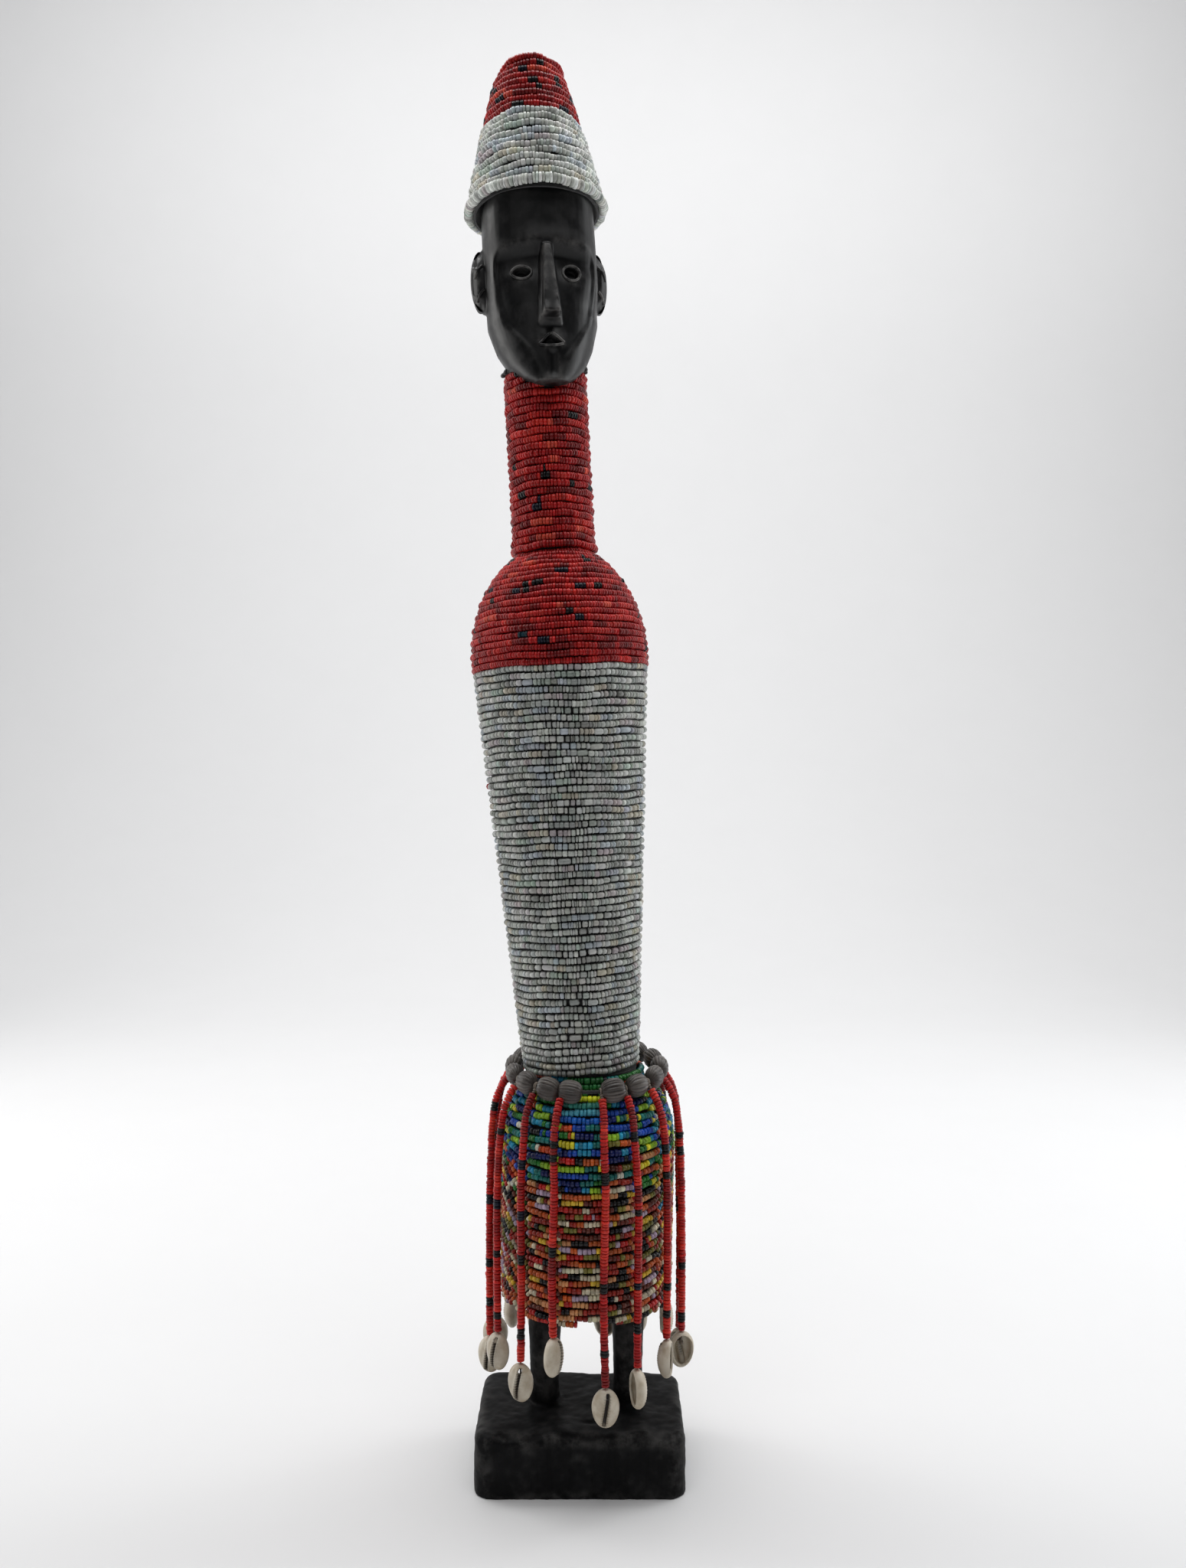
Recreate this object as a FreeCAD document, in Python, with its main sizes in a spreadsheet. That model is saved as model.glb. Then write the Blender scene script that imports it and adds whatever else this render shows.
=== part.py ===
"""Beaded fertility doll: a carved wooden figure wound with bead strings, with a lift-off cap and a fringe.

The figure stands on its own block, faces -Y, and its bust leans a little to its right, towards -X.
Row frame: millimetres, +Z up, origin at the middle of the block's underside.
"""
import FreeCAD, Part
import math
import os

import Sketcher
from FreeCAD import Placement, Rotation, Vector

# name, value in millimetres or degrees, what it is
SIZES = [
    ("base_width", 104.0, "block, side to side"),
    ("base_depth", 67.0, "block, front to back"),
    ("base_height", 30.0, "block"),
    ("base_corner", 8.0, "rounding of the block's upright edges"),
    ("base_edge", 3.5, "rounding of the block's top edges"),
    ("figure_x", 3.0, "legs and hips stand this far right of the block's middle"),
    ("figure_y", 5.0, "and this far behind it"),
    ("leg_spacing", 43.0, "between the legs' middles"),
    ("leg_radius", 9.3, "where a leg enters the hips"),
    ("ankle_radius", 7.6, "where a leg enters the block"),
    ("hip_bottom", 95.0, "height of the hips' underside"),
    ("hip_radius", 30.0, "wood of the hips at their underside"),
    ("hip_top_radius", 23.5, "wood of the hips at the waist"),
    ("waist_x", 0.5, "the bust's axis crosses the waist here"),
    ("waist_height", 203.0, "height of the waist"),
    ("waist_radius", 26.6, "wood of the bust at the waist"),
    ("lean", 3.05, "degrees that the bust leans towards -X"),
    ("grey_height", 204.0, "grey beading, up from the waist"),
    ("chest_height", 210.0, "widest part of the chest, up from the waist"),
    ("chest_radius", 42.3, "wood of the chest"),
    ("shoulder_rise", 56.8, "height of the ellipsoid that rounds the shoulders"),
    ("neck_radius", 17.6, "wood of the neck"),
    ("throat_height", 353.5, "top of the neck's beading on the bust's axis, up from the waist"),
    ("head_turn", 10.0, "degrees that the head turns to its left"),
    ("head_width", 58.0, "across the temples"),
    ("head_depth", 60.0, "forehead to the back of the head"),
    ("head_rise", 136.5, "crown above the throat"),
    ("ear_height", 34.0, "ear, top to lobe"),
    ("ear_reach", 6.5, "ear, out from the head"),
    ("nose_length", 39.0, "nose, brow to tip"),
    ("nose_reach", 7.0, "nose tip, out from the face"),
    ("eye_ring", 4.3, "radius of the carved ring round an eye"),
    ("cap_height", 76.5, "cap, rim to top, over the beads"),
    ("cap_drop", 50.0, "the cap's rim hangs this far below the crown"),
    ("cap_top_radius", 11.5, "inside of the cap at its top"),
    ("cap_bulge", 2.0, "bow of the cap's side"),
    ("rim_gap", 2.4, "between the head and the cap's lining at the rim"),
    ("lining_wall", 1.2, "cap lining"),
    ("grey_cap_height", 43.5, "grey beading of the cap, up from the rim"),
    ("brim_roll", 5.4, "thickness of the bead roll round the rim"),
    ("cap_seat_gap", 1.0, "between the crown and the lining"),
    ("bead", 3.5, "thickness of a bead string"),
    ("groove", 1.5, "depth of the groove between two rows of beads"),
    ("bead_gap", 0.3, "between a bead string and what it is wound on"),
    ("skirt_drop", 9.5, "top of the hip padding, below the waist"),
    ("hem_height", 86.0, "height of the skirt's hem"),
    ("pad_radius", 42.1, "widest part of the hip padding"),
    ("pad_hem_radius", 40.4, "hip padding at the hem"),
    ("pad_shoulder", 30.0, "height of the padding's rounded shoulder"),
    ("neck_cord_thickness", 2.2, "binding cord under the jaw"),
    ("belt_radius", 37.8, "belt cord, from the figure's axis"),
    ("belt_drop", 1.5, "belt cord, below the waist"),
    ("belt_tilt", 5.0, "degrees that the belt sags forward"),
    ("belt_cord_radius", 0.8, "belt cord"),
    ("seed_length", 10.4, "belt seed, along the belt"),
    ("seed_thickness", 9.0, "belt seed, across"),
    ("thread_radius", 0.45, "thread of the fringe"),
    ("loop_radius", 1.6, "thread loop round the belt cord"),
    ("strand_radius", 2.0, "bead string of the fringe"),
    ("strand_start", 4.2, "first fringe bead, from the belt cord"),
    ("strand_clearance", 1.6, "fringe beads, out from the skirt's beads"),
    ("shell_length", 18.7, "cowrie"),
    ("shell_width", 13.2, "cowrie"),
    ("shell_depth", 7.0, "cowrie with its back cut off"),
    ("shell_wall", 1.7, "cowrie"),
    ("shell_slit", 1.3, "width of the cowrie's mouth"),
    ("shell_hole", 0.95, "radius of the thread hole in a cowrie"),
    ("shell_drop", 1.4, "cowrie below the last fringe bead"),
    ("knot_radius", 1.3, "knot that holds a cowrie"),
]

# Hand-tied fringe, one row for each strand, in order round the belt:
# degrees from the front towards +X, height of the cowrie's top, sideways hang, the cowrie's turn in degrees.
STRANDS = [
    (-18.0, 83.0, -0.6, 84.0),
    (11.5, 59.5, -1.4, -12.0),
    (30.0, 66.0, 0.5, 76.0),
    (53.0, 74.0, 1.2, 205.0),
    (78.0, 69.5, -0.8, 118.0),
    (100.0, 62.0, 0.9, 20.0),
    (122.0, 70.0, -1.1, -30.0),
    (145.0, 64.0, 0.7, 160.0),
    (168.0, 58.0, -0.5, 10.0),
    (190.0, 68.0, 1.3, 95.0),
    (212.0, 61.0, -0.9, -20.0),
    (234.0, 72.0, 0.6, 35.0),
    (256.0, 67.0, -1.2, 100.0),
    (276.0, 64.5, 0.8, 62.0),
    (298.0, 74.5, -1.0, 24.0),
    (320.0, 66.5, 1.1, 14.0),
]
# The seed to the left of a wide space sits this share of the way from one strand to the next.
SEED_PLACE = 0.36
WIDE_SPACE = 26.0

# Head outline: height above the throat over head_rise, half width and half depth over the head's,
# and how far the middle is forward over head_depth.
HEAD_SECTIONS = [
    (-0.085, 0.28, 0.22, 0.38),
    (-0.055, 0.46, 0.42, 0.28),
    (0.00, 0.68, 0.70, 0.15),
    (0.08, 0.85, 0.86, 0.07),
    (0.18, 0.98, 0.96, 0.02),
    (0.42, 1.00, 1.00, 0.00),
    (0.60, 0.99, 0.99, 0.00),
]
CROWN_SECTIONS = [0.70, 0.80, 0.90, 0.97, 1.0]
CROWN_TOP_SHARE = 0.45
# The part of a cowrie's depth that lies in front of its thread.
BELLY_SHARE = 0.63


def make_sheet(doc):
    """The driving sizes, one cell each."""
    sheet = doc.addObject("Spreadsheet::Sheet", "sizes")
    for row, (alias, value, meaning) in enumerate(SIZES, start=1):
        sheet.set(f"A{row}", meaning)
        sheet.set(f"B{row}", str(value))
        sheet.setAlias(f"B{row}", alias)
    doc.recompute()
    return sheet


def bind(thing, **formulas):
    """Binds properties of a document object to the sheet; a word in a formula is a cell's alias."""
    for name, formula in formulas.items():
        words = formula.split(" ")
        thing.setExpression(name, " ".join(f"sizes.{w}" if w[0].isalpha() else w for w in words))


def bust(get, up=0.0, turn=0.0):
    """Placement on the leaning axis of the bust, up from the waist."""
    waist = Placement(Vector(get("waist_x"), get("figure_y"), get("waist_height")),
                      Rotation(Vector(0, 1, 0), -get("lean")))
    return waist.multiply(Placement(Vector(0, 0, up), Rotation(Vector(0, 0, 1), turn)))


def hips(get, up=0.0):
    """Placement on the upright axis of the hips and skirt."""
    return Placement(Vector(get("figure_x"), get("figure_y"), up), Rotation())


def node(doc, name, shape, placement=None):
    """A sub-part whose shape is made with Part's functions."""
    part = doc.addObject("Part::Feature", name)
    part.Shape = shape
    if placement is not None:
        part.Placement = placement
    return part


def lathe(edges):
    """The solid that a closed outline of edges in the XZ plane turns about Z."""
    solid = Part.Face(Part.Wire(edges)).revolve(Vector(0, 0, 0), Vector(0, 0, 1), 360)
    return Part.makeSolid(Part.makeShell(solid.Faces)) if solid.ShapeType != "Solid" else solid


def outward(points, i):
    """Unit normal, away from the axis, of a line of points in the XZ plane that runs upwards."""
    along = points[min(i + 1, len(points) - 1)] - points[max(i - 1, 0)]
    return Vector(along.z, 0, -along.x).normalize()


def bead_rows(get, path):
    """A turned shell on path, an open wire in the XZ plane, with one bevelled ridge for each row of beads."""
    rows = max(2, round(path.Length / get("bead")))
    straight = len(path.Edges) == 1 and isinstance(path.Edges[0].Curve, Part.Line)
    under = path.discretize(2 if straight else 3 * rows + 1)
    inner = [point + outward(under, i) * get("bead_gap") for i, point in enumerate(under)]
    points = path.discretize(4 * rows + 1)
    outer = []
    for i, point in enumerate(points):
        if i % 4 == 2:
            continue
        height = get("bead_gap") + get("bead") - (get("groove") if i % 4 == 0 else 0)
        outer.append(point + outward(points, i) * height)
    outline = Part.makePolygon(outer + inner[::-1] + outer[:1])
    return lathe(outline.Edges)


def wood_radius(get, up):
    """Radius of the bust's wood between the waist and the chest."""
    share = up / get("chest_height")
    return get("waist_radius") + (get("chest_radius") - get("waist_radius")) * share


def shoulder_point(get, radius):
    """Point of the shoulders' ellipse at a radius, in the bust's XZ plane."""
    share = radius / get("chest_radius")
    return Vector(radius, 0, get("chest_height") + get("shoulder_rise") * math.sqrt(1 - share * share))


def neck_foot(get):
    """Height above the waist where the neck leaves the shoulders."""
    return shoulder_point(get, get("neck_radius")).z


def ellipse_arc(centre, across, up, start, end):
    """Arc of an ellipse in the XZ plane, from start to end in degrees, with 0 along +X and 90 along +Z."""
    tall = up > across
    axis = Vector(0, 0, 1) if tall else Vector(1, 0, 0)
    curve = Part.Ellipse(centre + axis * max(up, across),
                         centre + (Vector(1, 0, 0) if tall else Vector(0, 0, 1)) * min(up, across), centre)
    low, high = (curve.parameter(centre + Vector(across * math.cos(math.radians(a)), 0,
                                                 up * math.sin(math.radians(a)))) for a in (start, end))
    if abs(high - low) > math.pi:
        high -= math.copysign(2 * math.pi, high - low)
    return Part.ArcOfEllipse(curve, min(low, high), max(low, high)).toShape()


def wire_up(edges):
    """A wire of edges whose points run in the order given, from the first edge's free end."""
    return Part.Wire(Part.__sortEdges__(edges))


# The carved wood

def make_block(doc):
    """The block that the figure stands on, with its upright and top edges worn round."""
    block = doc.addObject("Part::Box", "block")
    bind(block, Length="base_width", Width="base_depth", Height="base_height")
    block.setExpression("Placement.Base.x", "-sizes.base_width / 2")
    block.setExpression("Placement.Base.y", "-sizes.base_depth / 2")
    doc.recompute()
    get = doc.sizes.get
    worn = doc.addObject("Part::Fillet", "worn_block")
    worn.Base = block
    edges = []
    for number, edge in enumerate(block.Shape.Edges, start=1):
        box = edge.BoundBox
        if box.ZLength > get("base_height") / 2:
            edges.append((number, get("base_corner"), get("base_corner")))
        elif box.ZMin > get("base_height") / 2:
            edges.append((number, get("base_edge"), get("base_edge")))
    worn.Edges = edges
    return worn


def make_legs_and_hips(doc):
    """Two tapered legs, sunk a little into the block, and the hips above them."""
    get = doc.sizes.get
    made = []
    for side, sign in (("right", -1), ("left", 1)):
        leg = doc.addObject("Part::Cone", f"{side}_leg")
        bind(leg, Radius1="ankle_radius", Radius2="leg_radius", Height="hip_bottom - base_height / 2")
        leg.Placement = hips(get, get("base_height") / 2)
        leg.Placement.Base.x += sign * get("leg_spacing") / 2
        made.append(leg)
    hip = doc.addObject("Part::Cone", "hips")
    rise = get("waist_radius") * math.sin(math.radians(get("lean")))
    bind(hip, Radius1="hip_radius", Radius2="hip_top_radius")
    hip.Height = get("waist_height") + rise - get("hip_bottom")
    hip.Placement = hips(get, get("hip_bottom"))
    return made + [hip]


def make_bust(doc):
    """Waist to neck: a cone, the rounded shoulders and the neck, all on the leaning axis."""
    get = doc.sizes.get
    torso = doc.addObject("Part::Cone", "torso")
    bind(torso, Radius1="waist_radius", Radius2="chest_radius", Height="chest_height")
    torso.Placement = bust(get)
    shoulders = doc.addObject("Part::Ellipsoid", "shoulders")
    bind(shoulders, Radius1="shoulder_rise", Radius2="chest_radius", Radius3="chest_radius")
    shoulders.Angle1 = 0
    shoulders.Placement = bust(get, get("chest_height"))
    neck = doc.addObject("Part::Cylinder", "neck")
    bind(neck, Radius="neck_radius", Height="throat_height - chest_height + neck_radius")
    neck.Placement = bust(get, get("chest_height"))
    return [torso, shoulders, neck]


def cap_curve(get, outwards=0.0):
    """The cap's side as an arc in the XZ plane, from rim to top, so far outside the lining's inner face."""
    top_height = get("cap_height") - get("bead") - get("bead_gap") - get("lining_wall")
    low = Vector(get("head_width") / 2 + get("rim_gap") + outwards, 0, 0)
    high = Vector(get("cap_top_radius") + outwards, 0, top_height + outwards)
    chord = high - low
    out = Vector(chord.z, 0, -chord.x).normalize()
    return Part.Arc(low, (low + high) * 0.5 + out * get("cap_bulge"), high)


def cap_radius(get, up):
    """Inner radius of the cap's lining at a height above its rim."""
    line = Part.Line(Vector(0, 0, up), Vector(1, 0, up))
    return max(p.X for p in cap_curve(get).toShape().Curve.intersect(line))


def section(get, up, half_width, half_depth, forward):
    """An ellipse round the head's axis."""
    middle = Vector(0, -forward, up)
    if half_depth >= half_width:
        ellipse = Part.Ellipse(middle + Vector(0, half_depth, 0), middle - Vector(half_width, 0, 0), middle)
    else:
        ellipse = Part.Ellipse(middle + Vector(half_width, 0, 0), middle + Vector(0, half_depth, 0), middle)
    return Part.Wire(ellipse.toShape())


def head_radii(get, up):
    """Half width and half depth of the crown, which fits inside the cap."""
    rim = get("head_rise") - get("cap_drop")
    widest = 0.99 * get("head_width") / 2, 0.99 * get("head_depth") / 2
    if up <= rim:
        return widest
    room = cap_radius(get, up - rim) - get("cap_seat_gap")
    share = (up - rim) / get("cap_drop")
    dome = math.sqrt(max(CROWN_TOP_SHARE ** 2, 1 - share ** 4))
    return min(widest[0] * dome, room), min(widest[1] * dome, room)


def jaw_lift(get):
    """The jaw stands this far above the neck's beading, to leave room for the binding cord."""
    return get("neck_cord_thickness") + 2 * get("bead_gap")


def neck_room(get):
    """The neck, its beads and the binding cord take this cylinder out of the underside of the head."""
    radius = get("neck_radius") + 2 * get("bead_gap") + get("bead") + get("neck_cord_thickness") / 2
    reach = get("head_width")
    return Part.makeCylinder(radius, reach, Vector(0, 0, jaw_lift(get) - reach))


def make_head(doc):
    """The head on the throat, with nose, ears, ringed eyes and lips."""
    get = doc.sizes.get
    width, depth, rise = get("head_width") / 2, get("head_depth") / 2, get("head_rise")
    wires = [section(get, up * rise, across * width, deep * depth, forward * get("head_depth"))
             for up, across, deep, forward in HEAD_SECTIONS]
    wires += [section(get, up * rise, *head_radii(get, up * rise), 0) for up in CROWN_SECTIONS]
    skull = Part.makeLoft(wires, True).cut(neck_room(get))
    place = bust(get, get("throat_height"), get("head_turn"))
    made = [node(doc, "skull", skull, place), node(doc, "nose", nose_shape(get), place)]
    eye_height = 0.315 * rise
    for side, sign in (("right", -1), ("left", 1)):
        ear = doc.addObject("Part::Ellipsoid", f"{side}_ear")
        bind(ear, Radius1="ear_height / 2", Radius2="ear_reach")
        ear.Radius3 = get("ear_reach")
        ear.Placement = place.multiply(Placement(Vector(sign * width, 0.08 * depth, 0.36 * rise), Rotation()))
        eye = doc.addObject("Part::Torus", f"{side}_eye_ring")
        bind(eye, Radius1="eye_ring")
        eye.Radius2 = 0.8
        spot = Vector(sign * 0.43 * width, -0.885 * depth, eye_height)
        eye.Placement = place.multiply(Placement(spot, Rotation(Vector(0, 0, 1), Vector(spot.x, spot.y, 0))))
        made += [ear, eye]
    lips = doc.addObject("Part::Ellipsoid", "lips")
    lips.Radius1, lips.Radius2, lips.Radius3 = 3.0, 6.5, 3.2
    lips.Placement = place.multiply(Placement(Vector(0, -0.95 * depth, 0.06 * rise), Rotation()))
    return made + [lips]


def nose_shape(get):
    """A long narrow wedge that widens and stands further out towards its tip."""
    face = -get("head_depth") / 2
    tip = 0.42 * get("head_rise") - get("nose_length")
    outlines = [(0.42 * get("head_rise"), 3.0, 0.5), (tip, 5.5, get("nose_reach"))]
    wires = []
    for up, half, reach in outlines:
        corners = [Vector(-half, face + 6, up), Vector(-half, face, up), Vector(-half / 3, face - reach, up),
                   Vector(half / 3, face - reach, up), Vector(half, face, up), Vector(half, face + 6, up)]
        wires.append(Part.makePolygon(corners + corners[:1]))
    return Part.makeLoft(wires, True, True)


def make_carved_figure(doc):
    """Block, legs, hips, bust and head are one piece of wood."""
    pieces = [make_block(doc)] + make_legs_and_hips(doc) + make_bust(doc) + make_head(doc)
    figure = doc.addObject("Part::MultiFuse", "carved_figure")
    figure.Shapes = pieces
    return figure


# The beading that is wound on the wood

def make_torso_wrap(doc):
    get = doc.sizes.get
    low = Vector(wood_radius(get, 0), 0, 0)
    high = Vector(wood_radius(get, get("grey_height")), 0, get("grey_height"))
    path = Part.Wire(Part.LineSegment(low, high).toShape())
    return node(doc, "torso_bead_wrap", bead_rows(get, path), bust(get))


def make_shoulder_wrap(doc):
    get = doc.sizes.get
    low = Vector(wood_radius(get, get("grey_height")), 0, get("grey_height"))
    start = low + Vector(0, 0, 0.2)
    chest = Vector(get("chest_radius"), 0, get("chest_height"))
    neck = shoulder_point(get, get("neck_radius") + get("bead") + get("bead_gap"))
    steep = math.degrees(math.atan2((neck.z - chest.z) / get("shoulder_rise"), neck.x / get("chest_radius")))
    middle = Vector(0, 0, get("chest_height"))
    round_part = ellipse_arc(middle, get("chest_radius"), get("shoulder_rise"), 0, steep)
    line = Part.LineSegment(start, round_part.Vertexes[0].Point
                            if round_part.Vertexes[0].Z < round_part.Vertexes[-1].Z
                            else round_part.Vertexes[-1].Point).toShape()
    shape = bead_rows(get, upwards(wire_up([line, round_part])))
    return node(doc, "shoulder_bead_wrap", shape, bust(get))


def upwards(wire):
    """The wire's fine points from its lower end to its upper end, as a wire in that order."""
    points = wire.discretize(Distance=0.4)
    if points[0].z > points[-1].z:
        points.reverse()
    curve = Part.BSplineCurve()
    curve.interpolate(points)
    return Part.Wire(curve.toShape())


def make_neck_wrap(doc):
    get = doc.sizes.get
    step = get("bead") + get("bead_gap")
    foot = shoulder_point(get, get("neck_radius") + step).z + step
    low, high = (Vector(get("neck_radius"), 0, up) for up in (foot, get("throat_height")))
    path = Part.Wire(Part.LineSegment(low, high).toShape())
    return node(doc, "neck_bead_wrap", bead_rows(get, path), bust(get))


def make_neck_cord(doc):
    """The dark cord that binds the last row under the jaw."""
    get = doc.sizes.get
    cord = doc.addObject("Part::Torus", "neck_cord")
    bind(cord, Radius1="neck_radius + bead / 2 + bead_gap + neck_cord_thickness / 2",
         Radius2="neck_cord_thickness / 2")
    cord.Placement = bust(get, get("throat_height") + jaw_lift(get) / 2)
    return cord


# Hips and skirt

def pad_path(get, inset=0.0):
    """The padding's outside, from the hem up over its rounded shoulder, in the hips' XZ plane."""
    top = get("waist_height") - get("skirt_drop")
    inner = get("hip_top_radius") + 3.5
    shoulder = top - get("pad_shoulder")
    across, rise = get("pad_radius") - inner - inset, get("pad_shoulder") - inset
    arc = ellipse_arc(Vector(inner, 0, shoulder), across, rise, 0, 90)
    corner = Vector(get("pad_radius") - inset, 0, shoulder)
    hem = Vector(get("pad_hem_radius") - inset, 0, get("hem_height") + 1.0)
    side = Part.LineSegment(hem, corner).toShape()
    return upwards(wire_up([side, arc]))


def hip_wood_radius(get, height):
    """Radius of the hips' wood at a height above the ground."""
    rise = get("waist_radius") * math.sin(math.radians(get("lean")))
    share = (height - get("hip_bottom")) / (get("waist_height") + rise - get("hip_bottom"))
    return get("hip_radius") + (get("hip_top_radius") - get("hip_radius")) * share


def make_hip_padding(doc):
    """Cloth wound round the hips, which the skirt's beads are sewn to."""
    get = doc.sizes.get
    outside = pad_path(get)
    points = outside.discretize(2)
    low_height = get("hip_bottom") + 1.0
    low = Vector(hip_wood_radius(get, low_height) + get("bead_gap"), 0, low_height)
    high = Vector(hip_wood_radius(get, points[-1].z) + get("bead_gap"), 0, points[-1].z)
    edges = [outside.Edges[0], Part.LineSegment(points[-1], high).toShape(),
             Part.LineSegment(high, low).toShape(),
             Part.LineSegment(low, points[0]).toShape()]
    return node(doc, "hip_padding", lathe(edges), hips(get))


def make_skirt_wrap(doc):
    get = doc.sizes.get
    return node(doc, "skirt_bead_wrap", bead_rows(get, pad_path(get)), hips(get))


def skirt_radius(get):
    """Outermost radius of the skirt's beads."""
    return get("pad_radius") + get("bead_gap") + get("bead")


# Belt

def belt_place(get):
    """Placement of the belt's middle, turned to sag forward."""
    return hips(get, get("waist_height") - get("belt_drop")).multiply(
        Placement(Vector(0, 0, 0), Rotation(Vector(1, 0, 0), get("belt_tilt"))))


def belt_height(get, angle):
    """Height of the belt cord at an angle in degrees from -Y towards +X."""
    sag = get("belt_radius") * math.sin(math.radians(get("belt_tilt")))
    return get("waist_height") - get("belt_drop") - sag * math.cos(math.radians(angle))


def make_belt_cord(doc):
    get = doc.sizes.get
    cord = doc.addObject("Part::Torus", "belt_cord")
    bind(cord, Radius1="belt_radius", Radius2="belt_cord_radius")
    cord.Placement = belt_place(get)
    return cord


def seed_angles():
    """One seed in each space between two strands, nearer to the first strand where the space is wide."""
    angles = [row[0] for row in STRANDS]
    made = []
    for here, after in zip(angles, angles[1:] + [angles[0] + 360]):
        made.append(here + (after - here) * (SEED_PLACE if after - here > WIDE_SPACE else 0.5))
    return made


def seed_shape(get):
    """A seed along X, with a straight hole just wide enough for the bent cord."""
    long, thick = get("seed_length") / 2, get("seed_thickness") / 2
    bend = long ** 2 / (2 * get("belt_radius"))
    hole = get("belt_cord_radius") + get("bead_gap") + bend
    start = math.degrees(math.asin(hole / thick))
    arc = ellipse_arc(Vector(0, 0, 0), long, thick, start, 180 - start)
    ends = [vertex.Point for vertex in arc.Vertexes]
    outline = Part.Wire([arc, Part.LineSegment(ends[1], ends[0]).toShape()])
    return Part.Face(outline).revolve(Vector(0, 0, 0), Vector(1, 0, 0), 360)


def make_belt_seeds(doc):
    """Dark seeds threaded on the belt cord."""
    get = doc.sizes.get
    seeds = []
    for angle in seed_angles():
        seed = seed_shape(get)
        seed.Placement = Placement(spot(get("belt_radius"), 0, angle), Rotation(Vector(0, 0, 1), angle))
        seeds.append(seed)
    return node(doc, "belt_seeds", Part.makeCompound(seeds), belt_place(get))


def spot(out, up, angle, sideways=0.0):
    """Point at a distance from an upright axis, at an angle in degrees from -Y towards +X."""
    turn = math.radians(angle)
    return Vector(out * math.sin(turn) + sideways * math.cos(turn),
                  -out * math.cos(turn) + sideways * math.sin(turn), up)


# Cap

def make_cap_lining(doc):
    """The stiff lining, turned from an outline whose sizes are bound to the sheet."""
    body = doc.addObject("PartDesign::Body", "cap_lining_body")
    body.Label = "cap_lining"
    sketch = body.newObject("Sketcher::SketchObject", "cap_lining_outline")
    plane = next(f for f in body.Origin.OriginFeatures if f.Role == "XZ_Plane")
    sketch.AttachmentSupport = [(plane, "")]
    sketch.MapMode = "FlatFace"
    get = doc.sizes.get
    wall = get("lining_wall")
    inner, outer = cap_curve(get), cap_curve(get, wall)
    flat = lambda v: Vector(v.x, v.z, 0)
    low_in, high_in = (flat(p) for p in inner.toShape().discretize(2))
    low_out, high_out = (flat(p) for p in outer.toShape().discretize(2))
    top_in, top_out = Vector(0, high_in.y, 0), Vector(0, high_out.y, 0)
    bowed = [Part.Arc(*(flat(p) for p in curve.toShape().discretize(3))) for curve in (outer, inner)]
    sketch.addGeometry([bowed[0], Part.LineSegment(high_out, top_out), Part.LineSegment(top_out, top_in),
                        Part.LineSegment(top_in, high_in), bowed[1],
                        Part.LineSegment(low_in, low_out)], False)
    ends = {}
    for number, geometry in enumerate(sketch.Geometry):
        for which, point in ((1, geometry.StartPoint), (2, geometry.EndPoint)):
            key = (round(point.x, 3), round(point.y, 3))
            if key in ends:
                sketch.addConstraint(Sketcher.Constraint("Coincident", *ends[key], number, which))
            else:
                ends[key] = (number, which)
    rim, top = "sizes.head_width / 2 + sizes.rim_gap", "sizes.cap_top_radius"
    height = "sizes.cap_height - sizes.bead - sizes.bead_gap - sizes.lining_wall"
    bound = [(low_in, rim, "0"), (low_out, rim + " + sizes.lining_wall", "0"),
             (high_in, top, height), (high_out, top + " + sizes.lining_wall", height + " + sizes.lining_wall"),
             (top_in, "0", height), (top_out, "0", height + " + sizes.lining_wall")]
    for point, across, up in bound:
        element = ends[(round(point.x, 3), round(point.y, 3))]
        for kind, formula, value in (("DistanceX", across, point.x), ("DistanceY", up, point.y)):
            if formula == "0":
                axis = -2 if kind == "DistanceX" else -1
                sketch.addConstraint(Sketcher.Constraint("PointOnObject", *element, axis))
            else:
                sketch.addConstraint(Sketcher.Constraint(kind, -1, 1, *element, value))
                sketch.setExpression(f"Constraints[{sketch.ConstraintCount - 1}]", formula)
    for number, curve in ((0, outer), (4, inner)):
        sketch.addConstraint(Sketcher.Constraint("Radius", number, curve.toShape().Curve.Radius))
    doc.recompute()
    turned = body.newObject("PartDesign::Revolution", "cap_lining_turned")
    turned.Profile = sketch
    turned.ReferenceAxis = (sketch, ["V_Axis"])
    turned.Angle = 360
    body.Tip = turned
    body.Placement = cap_place(get)
    return body


def cap_place(get):
    """The cap's rim on the leaning axis, at rest on the crown."""
    return bust(get, get("throat_height") + get("head_rise") - get("cap_drop"))


def cap_paths(get):
    """The grey and the red stretch of the lining's outside, from the brim roll to the middle of the top."""
    curve = cap_curve(get, get("lining_wall")).toShape()
    points = curve.discretize(Distance=0.4)
    split = get("grey_cap_height")
    grey = [p for p in points if get("brim_roll") <= p.z <= split]
    red = [p for p in points if p.z >= split]
    corner = red[-1]
    steps = max(2, int(corner.x / 0.4))
    inwards = [corner.x * (1 - k / steps) for k in range(1, steps)]
    red += [Vector(out, 0, corner.z) for out in inwards if out > 1.2]
    return [Part.makePolygon(part) for part in (grey, red)]


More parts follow.
